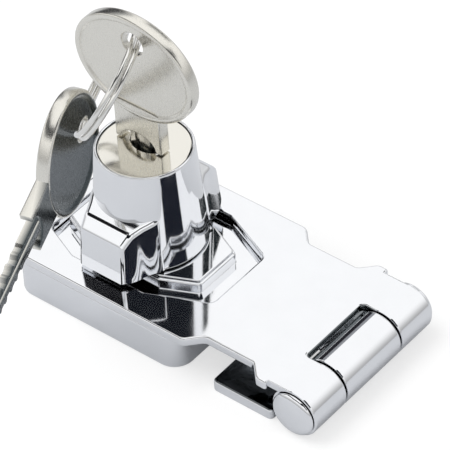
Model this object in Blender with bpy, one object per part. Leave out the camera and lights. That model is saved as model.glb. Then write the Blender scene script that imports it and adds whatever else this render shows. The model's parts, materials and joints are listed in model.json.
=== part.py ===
"""A chromed hasp with a keyed twist knob, 63.5 mm long, with its key and a spare on a split ring.

+X runs along the hasp from its free end to the hinge, +Y across it, +Z away from the door.
The origin is the middle of the staple's free-end foot, on the mounting plane.
The hasp leaf lies over the staple, and the knob stands locked across the leaf's slot.
"""

import math

import bmesh
import bpy
import numpy as np
from mathutils import Matrix, Vector

MM = 0.001

# Hasp leaf
HASP_LENGTH = 63.5 * MM        # free end of the leaf to the far side of the hinge barrel
KNOB_FROM_END = 17.4 * MM      # free end of the leaf to the knob's axis
LEAF_TOP = 8.8 * MM            # height of the leaf's upper face over the door
LEAF_THICK = 1.6 * MM
LEAF_WIDTH = 32.8 * MM         # over the staple
WAIST_WIDTH = 27.3 * MM
SHOULDER_START = 19.7 * MM     # the four stations along the leaf are measured from the knob's axis
SHOULDER_END = 22.3 * MM
FLARE_START = 32.2 * MM
FLARE_END = 34.7 * MM
LEAF_CORNER = 4.0 * MM
SHOULDER_CORNER = 1.3 * MM
LEAF_EDGE = 0.4 * MM           # rounding of the leaf's rim

# Slot in the hasp leaf
SLOT_HALF_WIDTH = 11.3 * MM
SLOT_FLAT = 7.6 * MM           # the slot keeps its full width this far to each side of the knob
SLOT_TIP_HALF = 6.7 * MM
SLOT_END = 18.3 * MM           # toward the hinge
SLOT_BACK = 15.1 * MM          # toward the free end
SLOT_CORNER = 1.5 * MM

# Hinge
BARREL_RADIUS = 4.4 * MM
MIDDLE_KNUCKLE = 14.0 * MM     # length of the fixed leaf's knuckle
KNUCKLE_GAP = 0.4 * MM
BARREL_LENGTH = 30.8 * MM      # over the two outer knuckles, without the pin's heads
WINDOW_DEPTH = 3.7 * MM        # the leaf stops this far before the hinge axis beside the middle knuckle
PIN_RADIUS = 2.2 * MM
PIN_CLEARANCE = 0.25 * MM
PIN_HEAD_LENGTH = 0.85 * MM
PIN_DOME = 0.45 * MM
PIN_GRIP = 0.6 * MM            # length of pin inside its cap

# Fixed leaf
FIXED_THICK = 1.9 * MM
FIXED_WIDTH = 31.0 * MM
FIXED_START = 24.7 * MM        # from the knob's axis
FIXED_GAP = 0.35 * MM          # the wide part ends this far before the outer knuckles
FIXED_SCREWS = ((28.2 * MM, -10.4 * MM), (28.2 * MM, 10.4 * MM), (33.0 * MM, 0.0))

# Staple, a hollow casting with a lozenge post
SEAT_GAP = 0.3 * MM            # between pieces that rest on or turn against each other
STAPLE_INSET = 0.4 * MM        # how far its rim stands inside the leaf's
STAPLE_WALL = 1.8 * MM
STAPLE_END = 18.2 * MM         # hinge side, from the knob's axis
STAPLE_CORNER = 3.6 * MM
STAPLE_EDGE = 0.7 * MM
POST_RISE = 0.5 * MM           # above the leaf's upper face
POST_PAD = 0.55 * MM           # height of the raised pad on the post
POST_PAD_INSET = 0.4 * MM
POST_HALF_LENGTH = 14.1 * MM
POST_TIP_HALF = 4.7 * MM
POST_HALF_WIDTH = 7.6 * MM
POST_FLAT = 7.7 * MM
POST_CORNER = 0.9 * MM
COLLAR_RADIUS = 9.0 * MM
COLLAR_BOTTOM = 2.6 * MM
NOTCH_WIDTH = 5.0 * MM
NOTCH_RADIUS = 7.9 * MM
SCREW_RADIUS = 1.7 * MM
SCREW_HEAD_RADIUS = 3.0 * MM
SCREW_BOSS = 3.1 * MM
STAPLE_SCREWS = ((-12.4 * MM, 12.0 * MM), (13.5 * MM, 12.3 * MM))   # mirrored across the centreline

# Knob
KNOB_HEIGHT = 19.8 * MM        # rim above the leaf's upper face
KNOB_RIM_RADIUS = 8.3 * MM
KNOB_FOOT_RADIUS = 9.75 * MM
KNOB_EDGE = 0.45 * MM
FACE_RADIUS = 7.7 * MM         # plug's head
FACE_DEPTH = 2.1 * MM
FACE_SINK = 0.25 * MM
FACE_GAP = 0.15 * MM
SPINDLE_RADIUS = 5.6 * MM
SPINDLE_CLEARANCE = 0.25 * MM
SPINDLE_NECK = 4.7 * MM
SPINDLE_BOTTOM = 0.5 * MM
BORE_FLOOR = 2.8 * MM
# Each wing station is (half width, distance from the knob's axis) in mm, from its end face inward.
WING_PLAN = ((4.6, 12.5), (5.8, 10.6), (6.4, 8.6), (7.7, 5.8), (3.4, 2.4))
WING_RIDGE = ((4.5, 12.5), (5.0, 10.2), (5.7, 8.4), (7.0, 5.4), (3.1, 2.4))
WING_HEIGHTS = (8.1, 10.1, 10.625, 11.5, 12.375)   # of the ridge, in mm above the leaf's upper face
WING_EDGE = 0.8 * MM           # rounding along the ridges
WING_CORNER = 0.45 * MM        # rounding of the end face's corners

# Plug, its wafers and the locking bolt
PLUG_RADIUS = 3.9 * MM
PLUG_CLEARANCE = 0.25 * MM
PLUG_BOTTOM = 5.6 * MM
KEY_OFFSET = 0.5 * MM          # the keyway lies this far off the knob's axis
WAFER_COUNT = 5
WAFER_TOP = 24.2 * MM
WAFER_PITCH = 2.2 * MM
WAFER_THICK = 0.8 * MM
WAFER_HALF_LENGTH = 3.1 * MM
WAFER_HALF_WIDTH = 1.5 * MM
WAFER_CLEARANCE = 0.2 * MM
LUG_REACH = 1.3 * MM
LUG_START = 1.3 * MM
LUG_LENGTH = 0.7 * MM
SPRING_RADIUS = 0.42 * MM
SPRING_WIRE = 0.1 * MM
SPRING_TURNS = 4
SPRING_BACK = 1.5 * MM         # its pocket ends this far behind the plug's axis
SPRING_SEAT = 0.12 * MM
CRANK_THROW = 1.1 * MM         # the crank pin's offset along X and along Y
CRANK_RADIUS = 0.7 * MM
CRANK_CLEARANCE = 0.35 * MM
CRANK_LENGTH = 2.2 * MM
BOLT_HEIGHT = 2.0 * MM
BOLT_HALF_WIDTH = 2.2 * MM
BOLT_TAIL = 3.0 * MM
BOLT_REACH = 5.2 * MM
BOLT_CLEARANCE = 0.2 * MM
GROOVE_HEIGHT = 7.5 * MM       # plug's retaining groove
GROOVE_DEPTH = 0.7 * MM
RETAINER_RADIUS = 0.5 * MM
RETAINER_OFFSET = 4.15 * MM
RETAINER_CLEARANCE = 0.15 * MM
RETAINER_HALF = 3.3 * MM

# Washer and clip that hold the spindle in the staple
WASHER_THICK = 0.6 * MM
WASHER_RADIUS = 8.4 * MM
CLIP_THICK = 0.5 * MM
CLIP_RADIUS = 6.9 * MM
CLIP_GROOVE = 0.7 * MM

# Keys
BOW_RADIUS = 11.5 * MM
BOW_HEIGHT = 35.8 * MM         # bow's centre above the leaf's upper face
BOW_THICK = 2.3 * MM
BOW_FIELD = 1.4 * MM           # thickness inside the raised rim
BOW_RIM = 1.1 * MM
BOW_HOLE_OFFSET = 5.8 * MM
BOW_HOLE_RADIUS = 2.45 * MM
NECK_HALF = 4.4 * MM
NECK_ARCH = 2.6 * MM
BLADE_HALF = 2.0 * MM
BLADE_THICK = 1.5 * MM
BLADE_TIP = 1.3 * MM           # length of the taper below the last cut
BIT_FLAT = 0.4 * MM            # half length of a cut's floor
BIT_HALF = 0.95 * MM           # half length of a cut with its ramps
BIT_DEPTHS = (0.3, 0.7, 0.45, 0.8, 0.5)   # in mm, from the shoulder to the tip
KEY_EDGE = 0.3 * MM

# Ring and spare key; the spare hangs from the ring and leans outward past the knob's rim
RING_WIRE = 0.42 * MM
RING_RADIUS = 11.85 * MM
RING_PITCH = 0.92 * MM         # between the two turns, which lie flat side by side
RING_TWIST = 32.1              # degrees, about the line between the two holes
RING_START = 182.0             # degrees from the side nearest the viewer
RING_SWEEP = 677.0
RING_STEP = (322.0, 358.0)     # the wire steps from one turn to the other between these angles
SPARE_HOLE = Vector((-7.65, -6.15, 24.69)) * MM    # from the knob's axis and the leaf's upper face
SPARE_BLADE = Vector((0.272, -0.929, -0.252))
SPARE_FACE = Vector((0.944, 0.308, -0.118))
RING_VIEW = Vector((0.502, -0.541, 0.675))       # the ring's plane holds this direction before the twist

ROUND = 40                     # sides of a large round
SMALL_ROUND = 16

KNOB_X = KNOB_FROM_END - STAPLE_INSET - STAPLE_WALL / 2
HINGE_X = KNOB_X + HASP_LENGTH - KNOB_FROM_END - BARREL_RADIUS
HINGE_Z = BARREL_RADIUS
STAPLE_TOP = LEAF_TOP - LEAF_THICK - SEAT_GAP
POST_TOP = LEAF_TOP + POST_RISE
KNOB_FOOT = POST_TOP + SEAT_GAP
KNOB_TOP = LEAF_TOP + KNOB_HEIGHT
FACE_TOP = KNOB_TOP - FACE_SINK
PLUG_BORE = PLUG_RADIUS + PLUG_CLEARANCE
STAPLE_BORE = SPINDLE_RADIUS + SPINDLE_CLEARANCE
SHOULDER_Z = FACE_TOP + SEAT_GAP
BOW_Z = LEAF_TOP + BOW_HEIGHT
KEY_HOLE_Z = BOW_Z + BOW_HOLE_OFFSET
WAFER_LEVELS = [WAFER_TOP - WAFER_PITCH * n for n in range(WAFER_COUNT)]
BLADE_BOTTOM = WAFER_LEVELS[-1] - BIT_HALF - BLADE_TIP


def clear_scene():
    for item in list(bpy.data.objects):
        bpy.data.objects.remove(item, do_unlink=True)
    for mesh in list(bpy.data.meshes):
        bpy.data.meshes.remove(mesh)


def material(name, colour, roughness, metallic=1.0):
    """A plain Principled material."""
    made = bpy.data.materials.get(name) or bpy.data.materials.new(name)
    made.use_nodes = True
    shader = made.node_tree.nodes["Principled BSDF"]
    shader.inputs["Base Color"].default_value = (*colour, 1.0)
    shader.inputs["Roughness"].default_value = roughness
    shader.inputs["Metallic"].default_value = metallic
    made.diffuse_color = (*colour, 1.0)
    return made


def mesh_object(name, shape):
    """Turn a bmesh into an object with closed, outward faces and smooth rounds."""
    bmesh.ops.recalc_face_normals(shape, faces=shape.faces)
    mesh = bpy.data.meshes.new(name)
    shape.to_mesh(mesh)
    shape.free()
    mesh.shade_smooth()
    mesh.set_sharp_from_angle(angle=math.radians(32.0))
    made = bpy.data.objects.new(name, mesh)
    bpy.context.scene.collection.objects.link(made)
    return made


def rounded(corners, steps=5):
    """An outline from (x, y, radius) corners, with each radius drawn as an arc."""
    outline = []
    count = len(corners)
    for index, (x, y, radius) in enumerate(corners):
        here = Vector((x, y))
        before = (Vector(corners[index - 1][:2]) - here).normalized()
        after = (Vector(corners[(index + 1) % count][:2]) - here).normalized()
        if radius <= 0.0:
            outline.append(here)
            continue
        half = before.angle(after) / 2
        reach = radius / math.tan(half)
        start = here + before * reach
        end = here + after * reach
        centre = here + (before + after).normalized() * (radius / math.sin(half))
        first = start - centre
        sweep = first.angle_signed(end - centre)
        for step in range(steps + 1):
            turn = Matrix.Rotation(-sweep * step / steps, 2)
            outline.append(centre + turn @ first)
    return outline


def circle(x, y, radius, sides=ROUND):
    angles = [2 * math.pi * n / sides for n in range(sides)]
    return [Vector((x + radius * math.cos(a), y + radius * math.sin(a))) for a in angles]


def inset(outline, distance):
    """Move each point of a counter-clockwise outline inward along its mitred normal."""
    points = np.array([tuple(p) for p in outline])
    along = np.roll(points, -1, axis=0) - points
    along /= np.linalg.norm(along, axis=1)[:, None]
    inward = np.stack([-along[:, 1], along[:, 0]], axis=1)
    both = inward + np.roll(inward, 1, axis=0)
    scale = 2.0 / (both ** 2).sum(axis=1)
    moved = points + both * (distance * scale)[:, None]
    return [Vector(p) for p in moved]


def plate(name, outer, low, high, holes=(), edge=0.0, edge_low=None, steps=2):
    """A flat plate between two heights, with round rims on its outline and its holes.

    Each outline runs counter-clockwise; a hole's rim is rounded too.
    """
    edge_low = edge if edge_low is None else edge_low
    rising = [(low + edge_low * (1 - math.cos(math.pi / 2 * s / steps)),
               edge_low * (1 - math.sin(math.pi / 2 * s / steps))) for s in range(steps + 1)]
    falling = [(high - edge * (1 - math.cos(math.pi / 2 * s / steps)),
                edge * (1 - math.sin(math.pi / 2 * s / steps))) for s in range(steps, -1, -1)]
    levels = (rising if edge_low else [(low, 0.0)]) + (falling if edge else [(high, 0.0)])
    shape = bmesh.new()
    caps = {0: [], len(levels) - 1: []}
    for ring, sign in [(outer, 1.0)] + [(hole, -1.0) for hole in holes]:
        rows = []
        for z, back in levels:
            rows.append([shape.verts.new((p.x, p.y, z)) for p in inset(ring, back * sign)])
        for level, (lower, upper) in enumerate(zip(rows, rows[1:])):
            for n in range(len(lower)):
                m = (n + 1) % len(lower)
                shape.faces.new((lower[n], lower[m], upper[m], upper[n]))
        for level in caps:
            row = rows[level]
            for n in range(len(row)):
                caps[level].append(shape.edges.get((row[n], row[(n + 1) % len(row)])))
    for edges in caps.values():
        bmesh.ops.triangle_fill(shape, edges=edges, use_beauty=True, use_dissolve=False)
    return mesh_object(name, shape)


def turned(name, profile, sides=ROUND, axis="Z", centre=(0.0, 0.0, 0.0)):
    """A solid turned about Z or Y from (radius, height) points that start and end on the axis."""
    shape = bmesh.new()
    rows = []
    for radius, height in profile:
        if radius == 0.0:
            rows.append([shape.verts.new((0.0, 0.0, height))])
        else:
            rows.append([shape.verts.new((p.x, p.y, height)) for p in circle(0.0, 0.0, radius, sides)])
    for lower, upper in zip(rows, rows[1:]):
        for n in range(sides):
            m = (n + 1) % sides
            if len(lower) == 1:
                shape.faces.new((lower[0], upper[m], upper[n]))
            elif len(upper) == 1:
                shape.faces.new((lower[n], lower[m], upper[0]))
            else:
                shape.faces.new((lower[n], lower[m], upper[m], upper[n]))
    if axis == "Y":
        shape.transform(Matrix.Rotation(math.radians(-90.0), 4, "X"))
    shape.transform(Matrix.Translation(centre))
    return mesh_object(name, shape)


def drum(name, centre, radius, length, axis="Z", sides=ROUND):
    """A plain cylinder that starts at centre and runs along the axis."""
    return turned(name, [(0.0, 0.0), (radius, 0.0), (radius, length), (0.0, length)], sides, axis, centre)


def block(name, low, high):
    """A box between two corners."""
    shape = bmesh.new()
    bmesh.ops.create_cube(shape, size=1.0)
    size = Vector(high) - Vector(low)
    middle = (Vector(high) + Vector(low)) / 2
    shape.transform(Matrix.Translation(middle) @ Matrix.Diagonal((*size, 1.0)))
    return mesh_object(name, shape)


def swept(name, path, radius, sides, closed=False):
    """A round wire along a path, its section turned with the path without twist."""
    points = [Vector(p) for p in path]
    tangents = []
    for n in range(len(points)):
        ahead = points[min(n + 1, len(points) - 1)]
        behind = points[max(n - 1, 0)]
        tangents.append((ahead - behind).normalized())
    side = tangents[0].orthogonal().normalized()
    shape = bmesh.new()
    rows = []
    for point, tangent in zip(points, tangents):
        side = (side - tangent * side.dot(tangent)).normalized()
        up = tangent.cross(side)
        row = []
        for n in range(sides):
            angle = 2 * math.pi * n / sides
            row.append(shape.verts.new(point + (side * math.cos(angle) + up * math.sin(angle)) * radius))
        rows.append(row)
    for lower, upper in zip(rows, rows[1:]):
        for n in range(sides):
            m = (n + 1) % sides
            shape.faces.new((lower[n], lower[m], upper[m], upper[n]))
    shape.faces.new(rows[0])
    shape.faces.new(rows[-1])
    return mesh_object(name, shape)


def combine(target, tool, operation):
    """Apply a Boolean of the tool to the target, and remove the tool."""
    change = target.modifiers.new(operation.lower(), "BOOLEAN")
    change.operation = operation
    change.solver = "EXACT"
    change.object = tool
    bpy.context.view_layer.update()
    result = target.evaluated_get(bpy.context.evaluated_depsgraph_get())
    mesh = bpy.data.meshes.new_from_object(result)
    target.modifiers.clear()
    old = target.data
    target.data = mesh
    bpy.data.meshes.remove(old)
    bpy.data.objects.remove(tool, do_unlink=True)
    mesh.shade_smooth()
    mesh.set_sharp_from_angle(angle=math.radians(32.0))
    return target


def cut(target, tool):
    return combine(target, tool, "DIFFERENCE")


def weld(target, tool):
    return combine(target, tool, "UNION")


def finish(piece, finish_material, origin=None):
    """Give a piece its material, and put its origin on its joint."""
    piece.data.materials.clear()
    piece.data.materials.append(finish_material)
    if origin is not None:
        place = Vector(origin)
        piece.data.transform(Matrix.Translation(-place))
        piece.matrix_world = Matrix.Translation(place)
    return piece


def lozenge(x, half_length, tip_half, flat, half_width, corner, back=None, trim=0.0):
    """The plan that post and slot share: a long hexagon with cut-off tips, on the knob's axis."""
    back = half_length if back is None else back
    slope = (half_width - tip_half) / (half_length - flat)
    back_half = half_width - slope * (back - flat)
    right = half_length - trim
    left = back - trim
    return rounded([
        (x + right, -(tip_half - trim), corner),
        (x + right, tip_half - trim, corner),
        (x + flat, half_width - trim, corner),
        (x - flat, half_width - trim, corner),
        (x - left, back_half - trim, corner),
        (x - left, -(back_half - trim), corner),
        (x - flat, -(half_width - trim), corner),
        (x + flat, -(half_width - trim), corner),
    ], 3)


def leaf_outline():
    """The hasp leaf's plan up to the hinge, with its shoulder, waist, flare and hinge window."""
    wide = LEAF_WIDTH / 2
    waist = WAIST_WIDTH / 2
    end = HINGE_X - 0.6 * MM
    window = HINGE_X - WINDOW_DEPTH
    gap = MIDDLE_KNUCKLE / 2 + KNUCKLE_GAP
    half = [
        (KNOB_X - KNOB_FROM_END, LEAF_CORNER, wide),
        (KNOB_X + SHOULDER_START, SHOULDER_CORNER * 1.4, wide),
        (KNOB_X + SHOULDER_END, SHOULDER_CORNER, waist),
        (KNOB_X + FLARE_START, SHOULDER_CORNER, waist),
        (KNOB_X + FLARE_END, SHOULDER_CORNER, BARREL_LENGTH / 2 + PIN_HEAD_LENGTH),
        (end, 0.0, BARREL_LENGTH / 2 + PIN_HEAD_LENGTH),
        (end, 0.0, gap),
        (window, SHOULDER_CORNER * 0.6, gap),
    ]
    lower = [(x, -y, radius) for x, radius, y in half]
    upper = [(x, y, radius) for x, radius, y in reversed(half)]
    return rounded(lower + upper, 4)


def hasp_leaf(chrome):
    """The stamped leaf with its slot and the two outer knuckles of the hinge."""
    slot = lozenge(KNOB_X, SLOT_END, SLOT_TIP_HALF, SLOT_FLAT, SLOT_HALF_WIDTH, SLOT_CORNER, SLOT_BACK)
    leaf = plate("hasp_leaf", leaf_outline(), LEAF_TOP - LEAF_THICK, LEAF_TOP, (slot,), LEAF_EDGE,
                 LEAF_EDGE / 2)
    inner = MIDDLE_KNUCKLE / 2 + KNUCKLE_GAP
    length = BARREL_LENGTH / 2 - inner
    for side in (-1, 1):
        start = inner if side > 0 else -BARREL_LENGTH / 2
        weld(leaf, drum("knuckle", (HINGE_X, start, HINGE_Z), BARREL_RADIUS, length, "Y"))
    trim = BARREL_LENGTH / 2
    for side in (-1, 1):
        low, high = sorted((side * trim, side * (trim + 4 * MM)))
        over = block("pin_head_space", (HINGE_X - BARREL_RADIUS - 0.6 * MM, low, -1 * MM),
                     (HINGE_X + BARREL_RADIUS, high, LEAF_TOP + 1 * MM))
        cut(leaf, over)
    cut(leaf, drum("pin_bore", (HINGE_X, -20 * MM, HINGE_Z), PIN_RADIUS + PIN_CLEARANCE, 40 * MM, "Y",
                   SMALL_ROUND + 8))
    return finish(leaf, chrome)


def fixed_leaf(chrome):
    """The leaf that is screwed down under the hasp, with the middle knuckle."""
    start = KNOB_X + FIXED_START
    wide_end = HINGE_X - BARREL_RADIUS - FIXED_GAP
    end = HINGE_X - 0.6 * MM
    half = FIXED_WIDTH / 2
    tongue = MIDDLE_KNUCKLE / 2
    outline = rounded([
        (start, -half, 1.0 * MM), (wide_end, -half, 0.8 * MM), (wide_end, -tongue, 0.6 * MM),
        (end, -tongue, 0.0), (end, tongue, 0.0), (wide_end, tongue, 0.6 * MM),
        (wide_end, half, 0.8 * MM), (start, half, 1.0 * MM),
    ], 3)
    leaf = plate("fixed_leaf", outline, 0.0, FIXED_THICK, (), LEAF_EDGE, 0.0)
    weld(leaf, drum("knuckle", (HINGE_X, -tongue, HINGE_Z), BARREL_RADIUS, MIDDLE_KNUCKLE, "Y"))
    cut(leaf, drum("pin_bore", (HINGE_X, -20 * MM, HINGE_Z), PIN_RADIUS + PIN_CLEARANCE, 40 * MM, "Y",
                   SMALL_ROUND + 8))
    for x, y in FIXED_SCREWS:
        cut(leaf, screw_hole(KNOB_X + x, y, FIXED_THICK))
    return finish(leaf, chrome, (HINGE_X, 0.0, HINGE_Z))


def screw_hole(x, y, top):
    """A countersunk screw hole as a cutter, its mouth at the given height."""
    sink = SCREW_HEAD_RADIUS - SCREW_RADIUS
    flare = 0.2 * MM
    return turned("screw_hole", [
        (0.0, -1 * MM), (SCREW_RADIUS, -1 * MM), (SCREW_RADIUS, top - sink),
        (SCREW_HEAD_RADIUS + flare, top + flare), (0.0, top + flare),
    ], SMALL_ROUND, "Z", (x, y, 0.0))


def hinge_pin(chrome):
    """The pin with its formed head at the front of the barrel."""
    end = BARREL_LENGTH / 2
    head = end + SEAT_GAP / 2
    face = head + PIN_HEAD_LENGTH
    round_end = BARREL_RADIUS - 0.1 * MM
    tip = head + PIN_GRIP
    profile = [
        (0.0, -face - PIN_DOME), (round_end * 0.45, -face - PIN_DOME * 0.8),
        (round_end * 0.82, -face - PIN_DOME * 0.3), (round_end, -face + 0.15 * MM),
        (round_end, -head), (PIN_RADIUS, -head), (PIN_RADIUS, tip - 0.3 * MM),
        (PIN_RADIUS - 0.3 * MM, tip), (0.0, tip),
    ]
    return finish(turned("hinge_pin", profile, ROUND, "Y", (HINGE_X, 0.0, HINGE_Z)), chrome)


def pin_cap(chrome):
    """The cap pressed on the pin's plain end."""
    head = BARREL_LENGTH / 2 + SEAT_GAP / 2
    face = head + PIN_HEAD_LENGTH
    round_end = BARREL_RADIUS - 0.1 * MM
    bore = PIN_RADIUS + 0.1 * MM
    floor = head + PIN_GRIP + 0.1 * MM
    profile = [
        (0.0, floor), (bore, floor), (bore, head), (round_end, head), (round_end, face - 0.15 * MM),
        (round_end * 0.82, face + PIN_DOME * 0.3), (round_end * 0.45, face + PIN_DOME * 0.8),
        (0.0, face + PIN_DOME),
    ]
    return finish(turned("pin_cap", profile, ROUND, "Y", (HINGE_X, 0.0, HINGE_Z)), chrome)


def staple_plan(grow=0.0):
    left = KNOB_X - KNOB_FROM_END + STAPLE_INSET - grow
    right = KNOB_X + STAPLE_END + grow
    half = LEAF_WIDTH / 2 - STAPLE_INSET + grow
    corner = STAPLE_CORNER + grow
    return rounded([(left, -half, corner), (right, -half, corner), (right, half, corner),
                    (left, half, corner)], 5)


def staple_base(chrome):
    """The hollow staple casting: rim walls, screw bosses, spindle collar and the lozenge post."""
    roof = STAPLE_TOP - STAPLE_WALL
    base = plate("staple_base", staple_plan(), 0.0, STAPLE_TOP, (), STAPLE_EDGE, 0.0, 3)
    hollow = plate("hollow", staple_plan(-STAPLE_WALL), -1 * MM, roof)
    cut(hollow, drum("collar", (KNOB_X, 0.0, COLLAR_BOTTOM), COLLAR_RADIUS, roof))
    for x, y in STAPLE_SCREWS:
        for side in (-1, 1):
            cut(hollow, drum("boss", (KNOB_X + x, side * y, -2 * MM), SCREW_BOSS, 12 * MM, "Z", 24))
    cut(base, hollow)
    plan = (POST_HALF_LENGTH, POST_TIP_HALF, POST_FLAT, POST_HALF_WIDTH, POST_CORNER)
    weld(base, plate("post", lozenge(KNOB_X, *plan), STAPLE_TOP - 1 * MM, POST_TOP - POST_PAD, (), 0.25 * MM,
                     0.0))
    weld(base, plate("pad", lozenge(KNOB_X, *plan, None, POST_PAD_INSET), STAPLE_TOP, POST_TOP, (),
                     0.2 * MM, 0.0))
    cut(base, drum("spindle_bore", (KNOB_X, 0.0, -1 * MM), STAPLE_BORE, 14 * MM))
    for quarter in range(4):
        turn = Matrix.Rotation(math.pi / 2 * quarter, 4, "Z")
        notch = block("notch", (STAPLE_BORE - 1 * MM, -NOTCH_WIDTH / 2, COLLAR_BOTTOM - 1 * MM),
                      (NOTCH_RADIUS, NOTCH_WIDTH / 2, BORE_FLOOR + BOLT_HEIGHT + 2 * BOLT_CLEARANCE))
        notch.data.transform(Matrix.Translation((KNOB_X, 0.0, 0.0)) @ turn)
        cut(base, notch)
    for x, y in STAPLE_SCREWS:
        for side in (-1, 1):
            cut(base, screw_hole(KNOB_X + x, side * y, STAPLE_TOP))
    return finish(base, chrome)


def edge_turn(edge):
    """The angle between an edge's two faces."""
    return edge.calc_face_angle(0.0)


def on_end_face(edge):
    """Whether an edge lies in the wing's end face."""
    return all(vertex.co.y > WING_PLAN[0][1] * MM - 1e-6 for vertex in edge.verts)


def wing(side):
    """One finger wing: a wedge with a plain end face, a short slope and a long gently rising top."""
    shape = bmesh.new()
    rows = []
    for across in (1, -1):
        foot = [shape.verts.new((across * u * MM, w * MM, KNOB_FOOT)) for u, w in WING_PLAN]
        ridge = [shape.verts.new((across * u * MM, w * MM, LEAF_TOP + z * MM))
                 for (u, w), z in zip(WING_RIDGE, WING_HEIGHTS)]
        rows.append((foot, ridge))
        for n in range(len(foot) - 1):
            shape.faces.new((foot[n], foot[n + 1], ridge[n + 1], ridge[n]))
    (foot, ridge), (far_foot, far_ridge) = rows
    shape.faces.new((foot[0], ridge[0], far_ridge[0], far_foot[0]))
    shape.faces.new((foot[-1], ridge[-1], far_ridge[-1], far_foot[-1]))
    shape.faces.new((ridge[0], ridge[1], far_ridge[1], far_ridge[0]))
    shape.faces.new(ridge[1:] + far_ridge[:0:-1])
    shape.faces.new(foot + far_foot[::-1])
    bmesh.ops.recalc_face_normals(shape, faces=shape.faces)
    ridges = [shape.edges.get(pair) for row in (ridge, far_ridge) for pair in zip(row, row[1:])]
    bmesh.ops.bevel(shape, geom=ridges, offset=WING_EDGE, segments=3, profile=0.5, affect="EDGES")
    corners = [edge for edge in shape.edges if on_end_face(edge) and edge_turn(edge) > math.radians(40.0)]
    bmesh.ops.bevel(shape, geom=corners, offset=WING_CORNER, segments=3, profile=0.5, affect="EDGES")
    shape.transform(Matrix.Rotation(math.pi / 2 * (1 - side), 4, "Z"))
    shape.transform(Matrix.Translation((KNOB_X, 0.0, 0.0)))
    return mesh_object("wing", shape)


def knob_body(chrome):
    """The knob: a conical body with two wings, and the spindle that runs down through the staple."""
    groove_low = COLLAR_BOTTOM - SEAT_GAP - WASHER_THICK - SEAT_GAP / 2 - CLIP_THICK - 0.1 * MM
    groove_high = groove_low + CLIP_THICK + 0.2 * MM
    rim = KNOB_TOP
    seat = FACE_TOP - FACE_DEPTH - SEAT_GAP / 2
    profile = [
        (0.0, SPINDLE_BOTTOM), (SPINDLE_NECK - 0.3 * MM, SPINDLE_BOTTOM),
        (SPINDLE_NECK, SPINDLE_BOTTOM + 0.2 * MM), (SPINDLE_NECK, groove_low),
        (SPINDLE_NECK - CLIP_GROOVE, groove_low), (SPINDLE_NECK - CLIP_GROOVE, groove_high),
        (SPINDLE_NECK, groove_high), (SPINDLE_NECK, COLLAR_BOTTOM - 0.1 * MM),
        (SPINDLE_RADIUS, COLLAR_BOTTOM - 0.1 * MM), (SPINDLE_RADIUS, KNOB_FOOT),
        (KNOB_FOOT_RADIUS - 0.3 * MM, KNOB_FOOT), (KNOB_FOOT_RADIUS, KNOB_FOOT + 0.3 * MM),
        (KNOB_RIM_RADIUS + 0.03 * MM, rim - KNOB_EDGE),
        (KNOB_RIM_RADIUS - KNOB_EDGE * 0.3, rim - KNOB_EDGE * 0.3), (KNOB_RIM_RADIUS - KNOB_EDGE * 0.8, rim),
        (FACE_RADIUS + FACE_GAP, rim - 0.08 * MM), (FACE_RADIUS + FACE_GAP, seat),
        (PLUG_BORE, seat), (PLUG_BORE, BORE_FLOOR), (0.0, BORE_FLOOR),
    ]
    knob = turned("knob_body", profile, ROUND + 8, "Z", (KNOB_X, 0.0, 0.0))
    for side in (1, -1):
        fin = wing(side)
        cut(fin, drum("bore_space", (KNOB_X, 0.0, KNOB_FOOT - 1 * MM), PLUG_BORE + 1.5 * MM, 30 * MM))
        weld(knob, fin)
    gate_half = BOLT_HALF_WIDTH + BOLT_CLEARANCE
    gate_low = (KNOB_X + PLUG_RADIUS - 1 * MM, -gate_half, BORE_FLOOR + 0.02 * MM)
    gate_high = (KNOB_X + SPINDLE_RADIUS + 1 * MM, gate_half, BORE_FLOOR + BOLT_HEIGHT + 2 * BOLT_CLEARANCE)
    cut(knob, block("bolt_gate", gate_low, gate_high))
    cut(knob, drum("retainer_hole", (KNOB_X - RETAINER_OFFSET, -SPINDLE_RADIUS, GROOVE_HEIGHT),
                   RETAINER_RADIUS + RETAINER_CLEARANCE, 2 * SPINDLE_RADIUS, "Y", 12))
    return finish(knob, chrome, (KNOB_X, 0.0, KNOB_FOOT))


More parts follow.
